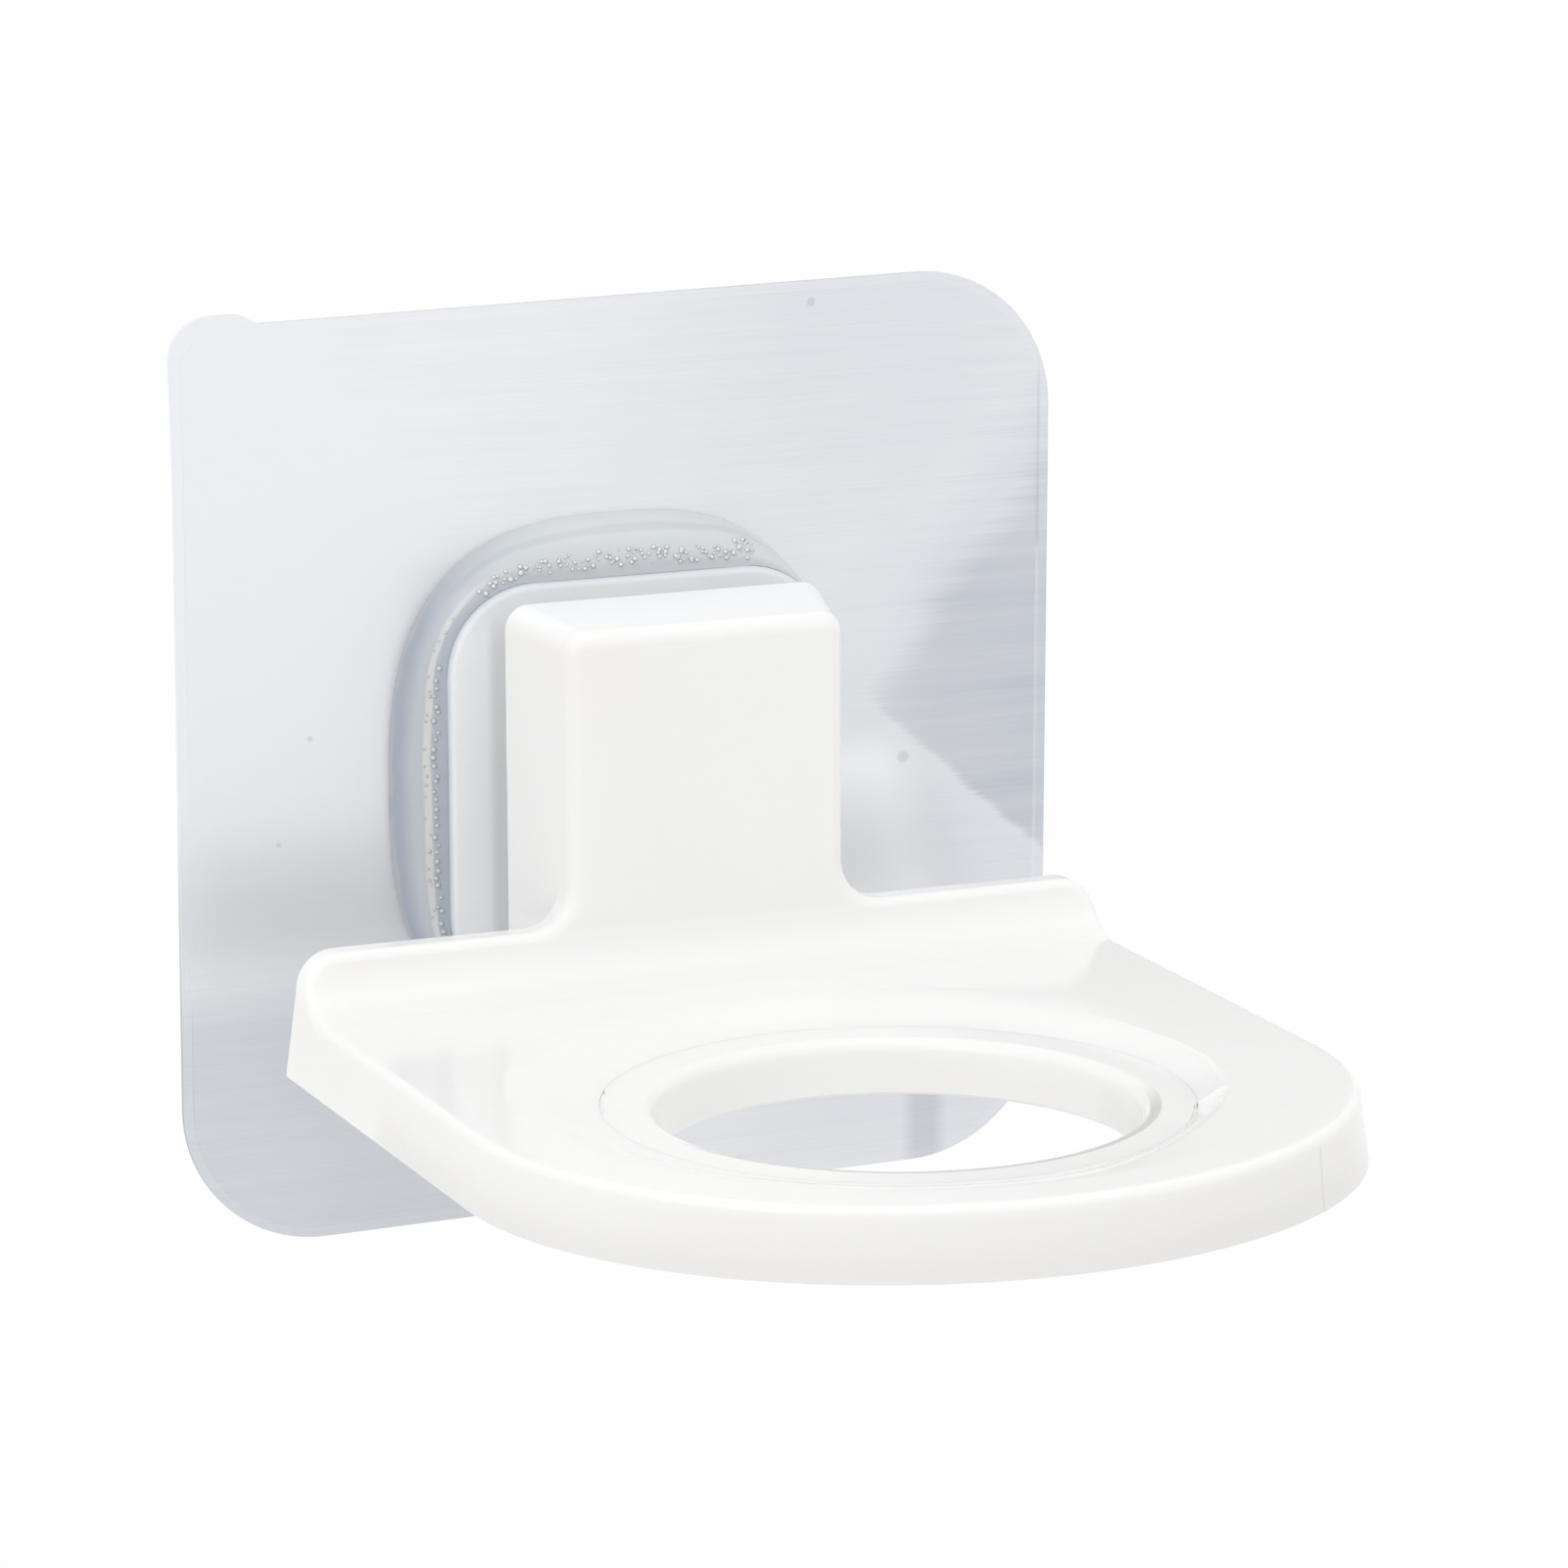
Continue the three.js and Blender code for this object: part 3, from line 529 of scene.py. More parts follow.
def turned(angle, soft, crisp, notches):
    """Profiles of radius and height turned round the bottle hole at the angles given. The crisp one takes
    over from the soft one towards the right, and each notch's own profile at its angle, all over a ramp of
    angles by a smooth step."""

    def near(middle, half, ramp):
        away = np.abs((angle - middle + 180) % 360 - 180)
        share = np.clip((half - away) / ramp + 0.5, 0, 1)
        return (share * share * (3 - 2 * share))[None, :, None]

    soft, crisp = np.array(soft)[:, None], np.array(crisp)[:, None]
    both = soft + (crisp - soft) * near(CRISP_ANGLE, CRISP_HALF, CRISP_RAMP)
    for middle, cut in notches:
        both = both + (np.array(cut)[:, None] - both) * near(middle, NOTCH_SPAN / 2, NOTCH_RAMP)
    turn = np.radians(angle)
    radius, z = both[..., 0], both[..., 1]
    return np.stack([radius * np.cos(turn), HOLE_Y + radius * np.sin(turn), z], axis=-1)


def ring_skin():
    """The ring's closed section turned round the hole: a quarter circle for the inner upper edge, the flat
    top, the outer side, the step on the ledge and the drafted bore. Two notches cut its outer upper edge."""
    angle = np.radians(np.linspace(180, 90, EDGE_STEPS))
    middle_radius, middle_z = RING_INNER + RING_LIP, RING_TOP - RING_LIP
    lip = [(middle_radius + RING_LIP * np.cos(a), middle_z + RING_LIP * np.sin(a)) for a in angle]
    foot = RING_INNER - RING_DRAFT
    bottom = [(RING_FOOT, LEDGE_TOP), (RING_FOOT, RING_BOTTOM), (foot + RING_BEVEL, RING_BOTTOM),
              (foot, RING_BOTTOM + RING_BEVEL), lip[0]]
    rim = [(RING_FLAT, RING_TOP), (RING_OUTER - RING_EDGE, RING_TOP), (RING_OUTER, RING_TOP - RING_EDGE),
           (RING_OUTER, RING_TOP - RING_SIDE), (RING_OUTER, LEDGE_TOP)]
    whole = lip + rim + bottom
    notches = []
    for middle, floor in zip(NOTCH_ANGLES, (NOTCH_FLOOR, RING_TOP - FAINT_NOTCH)):
        cut = [(NOTCH_INNER - NOTCH_SLOPE, RING_TOP), (NOTCH_INNER, RING_TOP - NOTCH_EDGE),
               (NOTCH_INNER, floor + NOTCH_EDGE), (RING_OUTER, floor), (RING_OUTER, LEDGE_TOP)]
        notches.append((middle, lip + cut + bottom))
    skin = Skin()
    skin.grid(turned(np.arange(0, 360, RING_STEP), whole, whole, notches), around=True)
    return skin


def pad_outline(margin):
    """The pad's edge: straight sides, three round corners, and the peel ear in place of the fourth, which a
    cubic curve joins to the top, all leaned a little out of square."""
    right, top, radius = PAD_HALF_WIDTH - margin, PAD_HALF_HEIGHT - margin, PAD_CORNER - margin
    ear_left, ear_top, ear_end = -right - EAR_SIDE, top + EAR_RISE, -right + EAR_LENGTH
    share = np.linspace(0, 1, EAR_STEPS)[:, None]
    start, end = np.array([ear_end + EAR_RISE, top]), np.array([ear_end - 2 * EAR_RISE, ear_top])
    first, second = np.array([ear_end, top]), np.array([ear_end, ear_top])
    slope = (start * (1 - share) ** 3 + 3 * first * share * (1 - share) ** 2
             + 3 * second * share ** 2 * (1 - share) + end * share ** 3)
    loop = np.concatenate([
        arc(right - radius, top - radius, radius, 0, 90, PAD_CORNER_STEPS)[0],
        slope,
        arc(ear_left + EAR_CORNER, ear_top - EAR_CORNER, EAR_CORNER, 90, 180, EAR_CORNER_STEPS)[0],
        [[-right, top - PAD_CORNER]],
        arc(-right + radius, -top + radius, radius, 180, 270, PAD_CORNER_STEPS)[0],
        arc(right - radius, -top + radius, radius, 270, 360, PAD_CORNER_STEPS)[0]])
    return np.stack([loop[:, 0] + PAD_LEAN * loop[:, 1], loop[:, 1] + PAD_SLOPE * loop[:, 0]], axis=-1)


def sheet_skin(margin, back, front, soft):
    """A thin sheet: the pad's outline from back to front with a softened front edge."""
    skin = Skin()
    halfway = soft * EDGE_HALFWAY
    loops = [(margin, back), (margin, front + soft), (margin + halfway, front + halfway),
             (margin + soft, front)]
    rows = []
    for inset, y in loops:
        edge = pad_outline(inset)
        rows.append(stacked(edge[:, 0], y, edge[:, 1]))
    skin.grid(np.stack(rows), around=True)
    skin.cap(rows[0])
    skin.cap(rows[-1])
    return skin


def rounded_rectangle(half_width, half_height, radius, centre_z):
    """A rectangle with round corners, as points (x, z)."""
    x, z = half_width - radius, half_height - radius
    quarters = [arc(x * across, centre_z + z * up, radius, start, start + 90, PLATE_CORNER_STEPS)[0]
                for across, up, start in ((1, 1, 0), (-1, 1, 90), (-1, -1, 180), (1, -1, 270))]
    return np.concatenate(quarters)


def on_film(points):
    """The same points pressed flat, a hair in front of the silver film."""
    return stacked(points[:, 0], PAD_FRONT - FILM_GAP, points[:, 2])


def plate_skin():
    """The clear plate with a softened front edge, and the T-rail standing on it."""
    skin = Skin()
    rows = []
    for angle in np.radians(np.linspace(0, 90, PLATE_EDGE_STEPS)):
        inset = PLATE_EDGE * (1 - math.cos(angle))
        half_width, half_height = PLATE_HALF_WIDTH - inset, PLATE_HALF_HEIGHT - inset
        edge = rounded_rectangle(half_width, half_height, PLATE_CORNER - inset, BOSS_Z)
        rows.append(stacked(edge[:, 0], PLATE_FACE + PLATE_EDGE * (1 - math.sin(angle)), edge[:, 1]))
    base = on_film(rows[0])
    skin.grid(np.stack([base] + rows), around=True)
    skin.cap(base)
    skin.cap(rows[-1])
    right = np.array([[STEM_HALF, PLATE_FACE + RAIL_ROOT], [STEM_HALF, HEAD_BACK], [HEAD_HALF, HEAD_BACK],
                      [HEAD_HALF, HEAD_FRONT]])
    section = np.concatenate([right, mirrored(right)])
    ends = [at_height(section, RAIL_BOTTOM), at_height(section, RAIL_TOP)]
    skin.grid(np.stack(ends), around=True)
    skin.cap(ends[0])
    skin.cap(ends[1])
    return skin


def bead_spots(angle, across):
    """The bead's surface. Round the boss its foot is a superellipse, narrower on the right. Across it a
    quarter of a sine arch rises from the foot and ends on the plate's edge."""
    cos, sin = np.cos(angle), np.sin(angle)
    power = 2 / BEAD_POWER
    half_width = np.where(cos > 0, BEAD_RIGHT, BEAD_HALF_WIDTH)
    foot = np.stack([BOSS_X + half_width * np.sign(cos) * np.abs(cos) ** power,
                     BOSS_Z + BEAD_HALF_HEIGHT * np.sign(sin) * np.abs(sin) ** power], axis=-1)
    reach_x, reach_z = PLATE_HALF_WIDTH - PLATE_CORNER, PLATE_HALF_HEIGHT - PLATE_CORNER
    plate = np.stack([np.clip(foot[..., 0] * BEAD_PULL, -reach_x, reach_x),
                      BOSS_Z + np.clip((foot[..., 1] - BOSS_Z) * BEAD_PULL, -reach_z, reach_z)], axis=-1)
    away = foot - plate
    away /= np.linalg.norm(away, axis=-1, keepdims=True)
    top = plate + away * (PLATE_CORNER + BEAD_GAP)
    flat = foot + (top - foot) * (1 - np.cos(across * math.pi / 2))[..., None]
    y = PAD_FRONT + (BEAD_FACE - PAD_FRONT) * np.sin(across * math.pi / 2)
    return np.stack([flat[..., 0], y, flat[..., 1]], axis=-1)


def bead_skin():
    """The bead's surface grid, closed by a wall down the plate's edge and a foot on the pad."""
    skin = Skin()
    angle, across = np.meshgrid(np.radians(np.arange(0, 360, BEAD_STEP)), np.linspace(0, 1, BEAD_ROWS))
    surface = bead_spots(angle, across)
    inner, foot = on_film(surface[-1]), on_film(surface[0])
    skin.grid(np.concatenate([inner[None], foot[None], surface[1:], inner[None]]), around=True)
    return skin


def bubble_skin():
    """Small balls half sunk in the bead: a row and some strays down its left side, a crowd along its top and
    a knot at the crowd's right end. A place along a side gives the superellipse's angle there. Each ball is a
    grid of rings from pole to pole, and all balls are placed at once."""
    chance = np.random.default_rng(BUBBLE_SEED)
    angles = []
    for side, number, first, last, scatter, _, _ in BUBBLES:
        place = np.linspace(first, last, number) + chance.uniform(-scatter, scatter, number)
        middle, half = (BOSS_Z, BEAD_HALF_HEIGHT) if side == "left" else (BOSS_X, BEAD_HALF_WIDTH)
        share = (place - middle) / half
        turned_share = np.sign(share) * np.abs(share) ** (BEAD_POWER / 2)
        angles.append(math.pi - np.arcsin(turned_share) if side == "left" else np.arccos(turned_share))
    across = np.concatenate([chance.uniform(*places, number) for _, number, _, _, _, places, _ in BUBBLES])
    radii = np.concatenate([chance.uniform(*sizes, number) for _, number, _, _, _, _, sizes in BUBBLES])
    centres = bead_spots(np.concatenate(angles), across)
    polar, turn = np.meshgrid(np.linspace(0, math.pi, BALL_ROWS),
                              np.arange(BALL_COLUMNS) * 2 * math.pi / BALL_COLUMNS, indexing="ij")
    ball = np.stack([np.sin(polar) * np.cos(turn), -np.cos(polar), np.sin(polar) * np.sin(turn)], axis=-1)
    skin = Skin()
    skin.grid(centres[:, None, None] + ball * radii[:, None, None, None], around=True)
    return skin


class Value:
    """A shader socket. The operators add Math nodes, so an expression reads as it is written."""

    def __init__(self, nodes, socket):
        self.nodes, self.socket = nodes, socket

    def fellow(self, output):
        """Another output of the same node."""
        return Value(self.nodes, self.socket.node.outputs[output])

    def math(self, operation, *others):
        return self.nodes.node("ShaderNodeMath", {"operation": operation}, dict(enumerate([self, *others])))

    def __add__(self, other):
        return self.math("ADD", other)

    def __sub__(self, other):
        return self.math("SUBTRACT", other)

    def __rsub__(self, other):
        return self.nodes.node("ShaderNodeMath", {"operation": "SUBTRACT"}, {0: other, 1: self})

    def __mul__(self, other):
        return self.math("MULTIPLY", other)

    def __pow__(self, other):
        return self.math("POWER", other)

    __radd__ = __add__
    __rmul__ = __mul__

    def most(self, other):
        """The larger of the two."""
        return self.math("MAXIMUM", other)

    def rise(self, low, high):
        """0 below low, 1 above high, and a smooth step between."""
        return self.nodes.node("ShaderNodeMapRange", {"interpolation_type": "SMOOTHSTEP"},
                               {"Value": self, "From Min": low, "From Max": high})

    def band(self, low, high, soft):
        """1 between low and high, and a smooth step down on both sides."""
        return self.rise(low - soft, low) * (1 - self.rise(high, high + soft))


class Nodes:
    """The nodes of one tree, all made by one method."""

    def __init__(self, tree):
        self.tree = tree

    def node(self, kind, settings, inputs, output=0):
        """A node of a kind, with its settings and the values or links of its sockets."""
        made = self.tree.nodes.new(kind)
        for name, value in settings.items():
            setattr(made, name, value)
        for name, value in inputs.items():
            if isinstance(value, Value):
                self.tree.links.new(value.socket, made.inputs[name])
            else:
                made.inputs[name].default_value = value
        return Value(self, made.outputs[output])

    def seen(self):
        """1 for rays that show a background: from the camera, mirrored, or through something clear."""
        path = self.node("ShaderNodeLightPath", {}, {}, "Is Camera Ray")
        return path.most(path.fellow("Is Glossy Ray")).most(path.fellow("Is Transmission Ray"))

    def either(self, factor, first, second):
        """Two shaders mixed by a factor."""
        return self.node("ShaderNodeMixShader", {}, {0: factor, 1: first, 2: second})

    def end(self, shader):
        """The shader that the tree gives out."""
        output = next(node for node in self.tree.nodes if "Output" in node.name)
        self.tree.links.new(shader.socket, output.inputs[0])


class Finish(Nodes):
    """A material with one Principled shader."""

    def __init__(self, name, **constants):
        self.material = bpy.data.materials.new(name)
        self.material.use_nodes = True
        super().__init__(self.material.node_tree)
        self.shader = self.tree.nodes["Principled BSDF"]
        for socket, value in constants.items():
            self.shader.inputs[socket.replace("_", " ")].default_value = value

    def feed(self, socket, value):
        self.tree.links.new(value.socket, self.shader.inputs[socket])

    def place(self):
        """Object coordinates as a vector, and its X, Y and Z in millimetres."""
        vector = self.node("ShaderNodeTexCoord", {}, {}, "Object")
        apart = self.node("ShaderNodeSeparateXYZ", {}, {0: vector})
        return vector, [apart.fellow(axis) * (1 / MM) for axis in range(3)]

    def noise(self, vector, scale, stretch=(1, 1, 1), detail=2.0):
        """Noise on coordinates that are stretched along each axis."""
        moved = self.node("ShaderNodeMapping", {}, {"Vector": vector, "Scale": stretch})
        return self.node("ShaderNodeTexNoise", {}, {"Vector": moved, "Scale": scale, "Detail": detail}, "Fac")

    def mix(self, factor, first, second):
        """Two colours mixed by a factor."""
        return self.node("ShaderNodeMix", {"data_type": "RGBA"}, {0: factor, 6: first, 7: second}, 2)

    def bump(self, height, strength, distance):
        self.feed("Normal", self.node("ShaderNodeBump", {}, {"Height": height, "Strength": strength,
                                                            "Distance": distance}))


def white_plastic():
    """Glossy white moulding: barely uneven colour and gloss and a faint orange-peel skin. It is warmer in a
    blush at the column's upper left. Painted light makes the column's top and the upstand's face paler, and
    painted shade makes the front skirt and the walls low round the hole duller. A mould line runs down the
    skirt, and a thin line of painted shade follows the hole's near lip."""
    finish = Finish("white_plastic", IOR=1.42, Subsurface_Weight=0.2, Subsurface_Scale=0.0012,
                    Subsurface_Radius=(1.0, 0.85, 0.7))
    vector, (x, y, z) = finish.place()
    cloud = finish.noise(vector, 60.0, detail=3.0)
    radius = (x ** 2 + (y - HOLE_Y) ** 2) ** 0.5
    away = ((x - BLUSH_X) ** 2 + (z - BLUSH_Z) ** 2) ** 0.5
    blush = (1 - away.rise(*BLUSH_REACH)) * z.rise(*BLUSH_FOOT)
    # Painted shade down the front skirt, and darker towards the bottom of the walls and in the hole
    skirt = (1 - z.rise(*SKIRT_TOP)) * (1 - y.rise(*SKIRT_FRONT))
    low = (1 - z.rise(*LOW_TOP)) * (1 - y.rise(*LOW_FRONT)) * (0.35 + 0.65 * radius.rise(*LOW_RADIUS))
    # Painted light on the upstand's face
    face = z.band(*FACE_BAND) * y.rise(*FACE_FRONT)
    mould = x.band(*MOULD_BAND) * (1 - z.rise(*MOULD_TOP)) * (1 - y.rise(*MOULD_FRONT))
    # A thin line of painted shade at the hole's near lip
    lip = radius.band(*LIP_BAND) * (1 - y.rise(*LIP_FAR))
    colour = finish.mix(cloud, WHITE_DULL, WHITE_CLEAN)
    colour = finish.mix(0.4 * blush, colour, WHITE_BLUSH)
    # Painted light on the column's top
    colour = finish.mix(z.rise(*COLUMN_TOP_RISE), colour, WHITE_LIT_TOP)
    colour = finish.mix(skirt, colour, WHITE_SHADED_SKIRT)
    colour = finish.mix(low, colour, WHITE_SHADED_LOW)
    colour = finish.mix(0.4 * face, colour, WHITE_LIT_FACE)
    finish.feed("Base Color", finish.mix(0.2 * mould + 0.55 * lip, colour, WHITE_MOULD_LINE_AND_SHADE))
    finish.feed("Roughness", 0.11 + 0.06 * finish.noise(vector, 900.0))
    finish.bump(finish.noise(vector, 700.0, detail=1.0), 0.03, 0.0002)
    return finish.material


def brushed_silver(name, milk):
    """Silver film brushed from side to side. A painted reflection makes it duller in a wedge that runs in
    from the right edge with ragged sides, and duller towards the right. Painted shade makes it duller low
    down, most of all low on the left below the shelf, and painted light makes it lighter in a patch right of
    the column. It is also duller in a stripe near the lower right corner, along its right hem, and in a few
    specks. The clear film that carries it shows the same silver with the same painted reflection, light and
    shade, a little milky, most of all along the upper left edge, and is dark on its side lower down."""
    finish = Finish(name, Metallic=0.85)
    vector, (x, y, z) = finish.place()
    fine = finish.noise(vector, 1.0, (45, 1, 5200), 3.0)
    broad = finish.noise(vector, 1.0, (20, 1, 900), 3.0)
    cloud = finish.noise(vector, 40.0)
    # Painted reflection: a dark wedge from the right edge, ragged above and crisp below
    ragged = x + 3.0 * (broad - 0.5) + 3.0 * (fine - 0.5) + 4.0 * (cloud - 0.5)
    crisp = x + 1.2 * (broad - 0.5) + 1.6 * (fine - 0.5)
    above = ragged - WEDGE_UPPER_LEAN * (z - WEDGE_UPPER_Z)
    below = crisp + WEDGE_LOWER_LEAN * (z - WEDGE_LOWER_Z)
    veil = above.rise(*WEDGE_VEIL) * x.rise(*WEDGE_VEIL_X)
    wedge = (0.4 * veil + 0.6 * above.rise(*WEDGE_UPPER)) * below.rise(*WEDGE_LOWER)
    # A patch of painted light right of the column
    leaned = x + BRIGHT_LEAN * (z - BRIGHT_Z)
    bright = x.rise(*BRIGHT_LEFT) * (1 - leaned.rise(*BRIGHT_RIGHT)) * z.band(*BRIGHT_BAND)
    stripe = x.band(*STRIPE_BAND) * (1 - z.rise(*STRIPE_TOP))
    # Painted reflection across towards the right, and painted shade low down and at the foot on the left
    across = (x + ACROSS_LEAN * z).rise(*ACROSS_RISE)
    low = 1 - z.rise(*LOWER_PART)
    foot = (1 - z.rise(*FOOT_TOP)) * (1 - x.rise(*FOOT_RIGHT))
    shade = 0.30 * across + 0.39 * wedge + 0.36 * stripe + 0.12 * low + 0.5 * foot
    shade = shade + 0.3 * (cloud - 0.5) + 0.18 * (fine - 0.5) + 0.10 * (broad - 0.5)
    shade = shade + 0.05 * x.rise(*LEFT_PART) - 0.08
    shade = shade + wedge * (0.3 * (broad - 0.5) + 0.25 * (cloud - 0.5))
    colour = finish.mix(shade, SILVER_LIGHT, SILVER_SHADE_AND_GRAIN)
    colour = finish.mix(bright, colour, SILVER_LIT_PATCH)
    hem = (x - PAD_LEAN * z).band(*HEM_BAND)
    high = z.rise(*HEM_HIGH)
    upper = z.rise(*MILKY_HEIGHT)
    milky = 0.25 + 0.75 * (1 - x.rise(*MILKY_LEFT)) * upper
    colour = finish.mix(milk * milky + 0.25 * hem * (1 - high), colour, SILVER_MILKY)
    side = y.rise(*FILM_SIDE) * (1 - upper)
    dark = 0.16 * hem * high * (1 - z.rise(*HEM_END)) + 0.45 * side
    for speck_x, speck_z, size in SPECKS:
        away = ((x - speck_x) ** 2 + (z - speck_z) ** 2) ** 0.5
        dark = dark + 0.22 * (1 - away.rise(size * 0.5, size))
    finish.feed("Base Color", finish.mix(dark, colour, SILVER_DARK))
    finish.feed("Roughness", 0.30 + 0.12 * fine)
    finish.bump(fine, 0.06, 0.0001)
    return finish.material


def adhesive_gel():
    """Tacky clear gel with fine bubbles."""
    finish = Finish("adhesive_gel", Roughness=0.35, Alpha=0.9)
    vector, _ = finish.place()
    dots = finish.node("ShaderNodeTexVoronoi", {}, {"Vector": vector, "Scale": 900.0}, "Distance")
    finish.feed("Base Color", finish.mix(dots.rise(*GEL_DOTS), GEL_BUBBLE, GEL_CLEAR))
    return finish.material


def clear_resin():
    """Poured clear resin. Across the bead run painted shade on the outer slope, a pale weld line and painted
    shade on the inner edge, which are broad and strong on the left side and thin and weak along the top, and
    fade on the right. The left side's own colour is a shaded copy of the top's. The bead's height gives the
    place across it by the sine arch, turned round."""
    finish = Finish("clear_resin", Roughness=0.09, Alpha=0.92)
    vector, (x, y, z) = finish.place()
    climb = (PAD_FRONT - y) * (1 / (PAD_FRONT - BEAD_FACE))
    wander = 0.10 * (finish.noise(vector, 260.0) - 0.5)
    across = 1 - (1 - (climb * climb) * JUST_UNDER_ONE) ** 0.5 + wander
    to_right = (x - BOSS_X) * (1 / BEAD_HALF_WIDTH)
    upwards = (z - BOSS_Z) * (1 / BEAD_HALF_HEIGHT)
    left = (0 - to_right - upwards).rise(*RESIN_LEFT_SIDE)
    kept = 1 - 0.9 * to_right.rise(*RESIN_RIGHT_SIDE)
    # Painted shade on the outer slope and the inner edge
    slope = left * (1 - across.rise(*RESIN_SLOPE))
    outer = (slope + 0.9 * (1 - left) * across.band(*RESIN_LINE)) * kept
    edge = 0.42 * left * across.rise(*RESIN_INNER_LEFT)
    inner = (edge + (1 - left) * across.rise(*RESIN_INNER_TOP)) * kept
    weld = across.band(*RESIN_WELD_BAND) * (0.1 + 0.75 * left)
    root = 0.4 * left * (1 - across.rise(*RESIN_FOOT))
    # The left side is painted as a shaded copy of the top
    plain = finish.mix(left, RESIN_TOP, RESIN_SHADED_LEFT)
    dark = finish.mix(left, RESIN_SHADE_TOP, RESIN_SHADE_LEFT)
    colour = finish.mix((0.95 * outer).most(inner), plain, dark)
    colour = finish.mix(weld, colour, RESIN_WELD)
    finish.feed("Base Color", finish.mix(root, colour, RESIN_ROOT))
    return finish.material


def resin_bubble():
    """Air caught in the resin: a painted highlight in the middle, brightest high up, and painted shade round
    the rim.
    """
    finish = Finish("resin_bubble", Roughness=0.08, Alpha=0.9)
    _, (_, _, z) = finish.place()
    # Painted shade round the rim, and a painted highlight in the middle
    rim = finish.node("ShaderNodeLayerWeight", {}, {"Blend": 0.5}, "Facing")
    middle = finish.mix(z.rise(*BUBBLE_HEIGHT), BUBBLE_GLINT_LOW, BUBBLE_GLINT_HIGH)
    finish.feed("Base Color", finish.mix(rim.rise(*RIM_RISE), middle, BUBBLE_RIM_SHADE))
    return finish.material


def clear_plastic():
    """Clear rail plate: milky with a faint grain, with painted shade down its edge, beside the column and
    along its top, a faint glow of painted light, and clearest in the rail."""
    finish = Finish("clear_plastic", Roughness=0.1, Emission_Strength=GLOW_STRENGTH)
    vector, (x, y, z) = finish.place()
    # Painted shade down the plate's edge
    edge = y.rise(*CLEAR_EDGE_FRONT) * (1 - y.rise(*CLEAR_EDGE_BACK))
    rail = 1 - y.rise(*CLEAR_RAIL)
    cloud = finish.noise(vector, 200.0)
    grain = finish.noise(vector, 1.0, (45, 1, 4200), 2.0)
    shade = 0.5 * x.band(*SHADED_BAND) * (1 - z.rise(*SHADED_TOP)) + 0.22 * z.rise(*SHADED_HEAD)
    face = finish.mix(0.5 * cloud + 0.5 * grain, CLEAR_DULL, CLEAR_LIGHT)
    face = finish.mix(shade, face, CLEAR_SHADED)
    finish.feed("Base Color", finish.mix(edge, face, CLEAR_EDGE_SHADE))
    finish.feed("Alpha", 0.85 + 0.05 * edge - 0.3 * rail)
    # Painted light: a faint glow, weaker down the edge
    finish.feed("Emission Color", finish.mix(edge, FACE_GLOW, EDGE_GLOW))
    return finish.material


def set_camera():
    """The photograph's view: a long lens from the left and a little above."""
    azimuth, elevation, roll = np.radians([CAMERA_AZIMUTH, CAMERA_ELEVATION, CAMERA_ROLL])
    ahead = np.array([math.sin(azimuth) * math.cos(elevation), math.cos(azimuth) * math.cos(elevation),
                      -math.sin(elevation)])
    right = np.array([math.cos(azimuth), -math.sin(azimuth), 0])
    up = np.cross(right, ahead)
    turned_right = math.cos(roll) * right + math.sin(roll) * up
    turned_up = math.cos(roll) * up - math.sin(roll) * right
    eye = np.array(CAMERA_TARGET) - ahead * CAMERA_DISTANCE
    data = bpy.data.cameras.new("photo_camera")
    data.sensor_width, data.lens = CAMERA_SENSOR, CAMERA_LENS
    camera = bpy.data.objects.new("photo_camera", data)
    matrix = np.eye(4)
    matrix[:3, :4] = np.stack([turned_right, turned_up, -ahead, eye], axis=-1)
    camera.matrix_world = Matrix(matrix.tolist())
    bpy.context.scene.collection.objects.link(camera)
    bpy.context.scene.camera = camera


def set_world():
    """A white room, plain as light and bright where it is seen. What is mirrored is duller far behind the
    holder on the right."""
    world = bpy.data.worlds.new("white_room")
    world.use_nodes = True
    bpy.context.scene.world = world
    nodes = Nodes(world.node_tree)
    tones = (((1, 1, 1), ROOM_LIGHT), ((1, 1, 1), 1.0), (DULL_COLOUR, 1.0))
    room, white, dull = [nodes.node("ShaderNodeBackground", {}, {"Color": (*colour, 1), "Strength": strength})
                         for colour, strength in tones]
    direction = nodes.node("ShaderNodeTexCoord", {}, {}, "Generated")
    toward = nodes.node("ShaderNodeVectorMath", {"operation": "DOT_PRODUCT"},
                        {0: direction, 1: DULL_SIDE}, "Value")
    mirrored_ray = nodes.node("ShaderNodeLightPath", {}, {}, "Is Glossy Ray")
    shown = nodes.either(toward.rise(*DULL_REACH) * mirrored_ray, white, dull)
    nodes.end(nodes.either(nodes.seen(), room, shown))


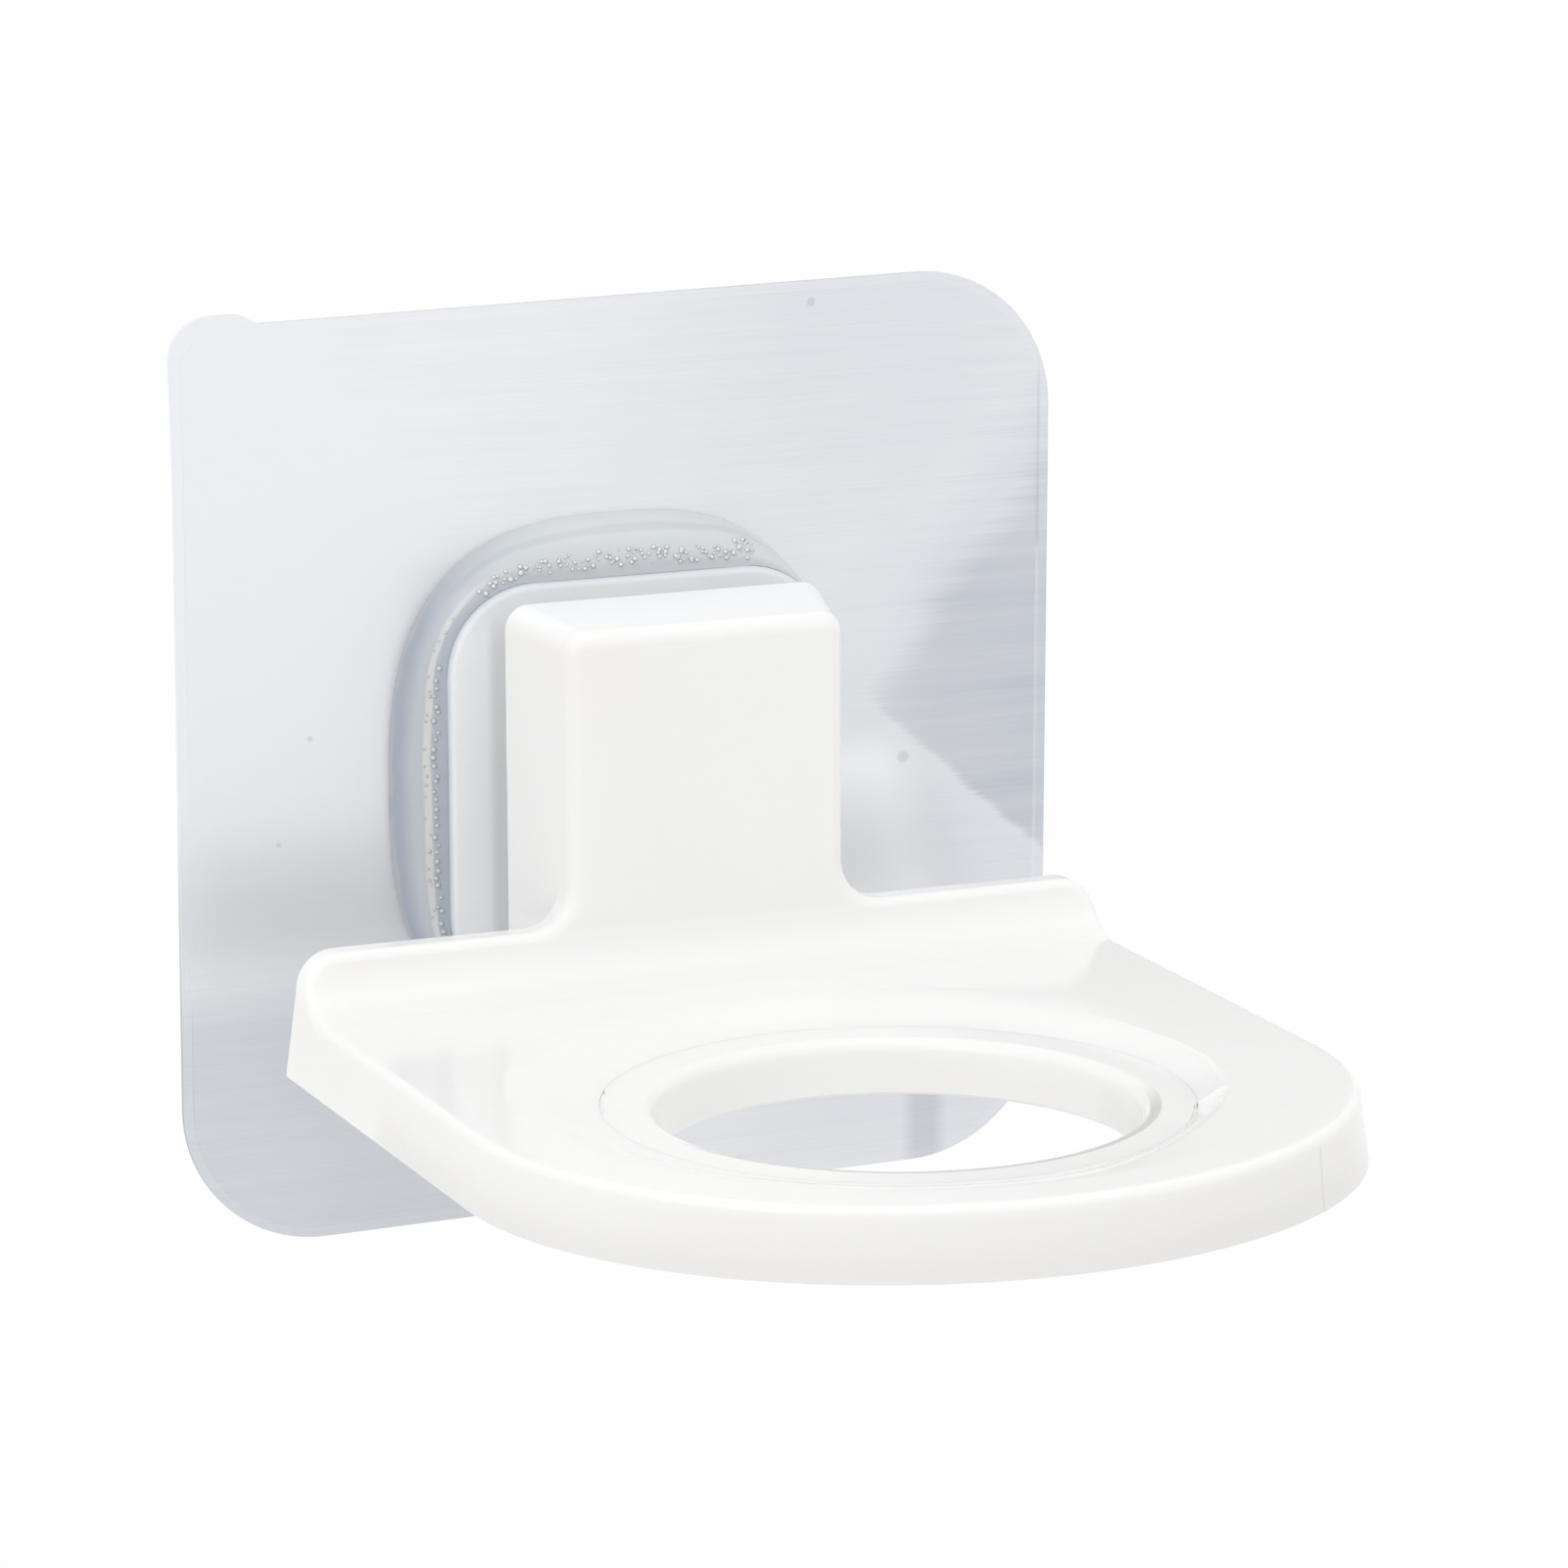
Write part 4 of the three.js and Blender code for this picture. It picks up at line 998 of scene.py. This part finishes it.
def set_floor():
    """A pale floor well below the holder. It is seen as white from afar and keeps more of its own shade, and
    so the holder's shadow, close under it."""
    corners = [(FLOOR_HALF * across, FLOOR_HALF * along, FLOOR_Z)
               for across, along in ((-1, -1), (1, -1), (1, 1), (-1, 1))]
    mesh = bpy.data.meshes.new("floor")
    mesh.from_pydata(corners, [], [(0, 1, 2, 3)])
    floor = bpy.data.objects.new("floor", mesh)
    bpy.context.scene.collection.objects.link(floor)
    paint = Finish("pale_floor", Base_Color=(*FLOOR_COLOUR, 1), Roughness=0.9)
    _, (x, y, _) = paint.place()
    away = (x ** 2 + (y - GLOW_Y) ** 2) ** 0.5
    share = paint.seen() * (GLOW_NEAR + GLOW_MORE * away.rise(*GLOW_REACH))
    glow = paint.node("ShaderNodeEmission", {}, {})
    own = Value(paint, paint.shader.outputs[0])
    paint.end(paint.either(share, own, glow))
    mesh.materials.append(paint.material)


def set_lamps():
    """Soft square lamps that look at the holder."""
    for name, place, size, power in LAMPS:
        data = bpy.data.lights.new(name, "AREA")
        data.size, data.energy = size, power
        lamp = bpy.data.objects.new(name, data)
        lamp.location = place
        lamp.rotation_euler = (Vector(LAMP_AIM) - Vector(place)).to_track_quat("-Z", "Y").to_euler()
        bpy.context.scene.collection.objects.link(lamp)


bpy.context.scene.view_settings.view_transform = "Standard"
set_camera()
set_world()
set_floor()
set_lamps()
white = white_plastic()
bracket_skin().piece("bracket_shell", white, "bracket", "white_plastic", "bracket")
ring_skin().piece("ring_shell", white, "ring", "white_plastic", "reducer_ring")
sheet_skin(SILVER_MARGIN, PAD_BACK, ADHESIVE_FRONT, ADHESIVE_EDGE).piece(
    "adhesive_sheet", adhesive_gel(), "pad", "adhesive", "adhesive_layer")
sheet_skin(CARRIER_MARGIN, ADHESIVE_FRONT, CARRIER_FRONT, CARRIER_EDGE).piece(
    "carrier_sheet", brushed_silver("clear_film", CARRIER_MILK), "pad", "clear_film", "carrier_film")
sheet_skin(SILVER_MARGIN, CARRIER_FRONT, PAD_FRONT, SILVER_EDGE).piece(
    "silver_sheet", brushed_silver("brushed_silver", SILVER_MILK), "pad", "brushed_silver", "brushed_film")
bead_skin().piece("bead_ring", clear_resin(), "pad", "clear_resin", "resin_bead")
bubble_skin().piece("resin_bubbles", resin_bubble(), "pad", "clear_resin")
plate_skin().piece("plate_with_rail", clear_plastic(), "pad", "clear_plastic", "rail_plate")
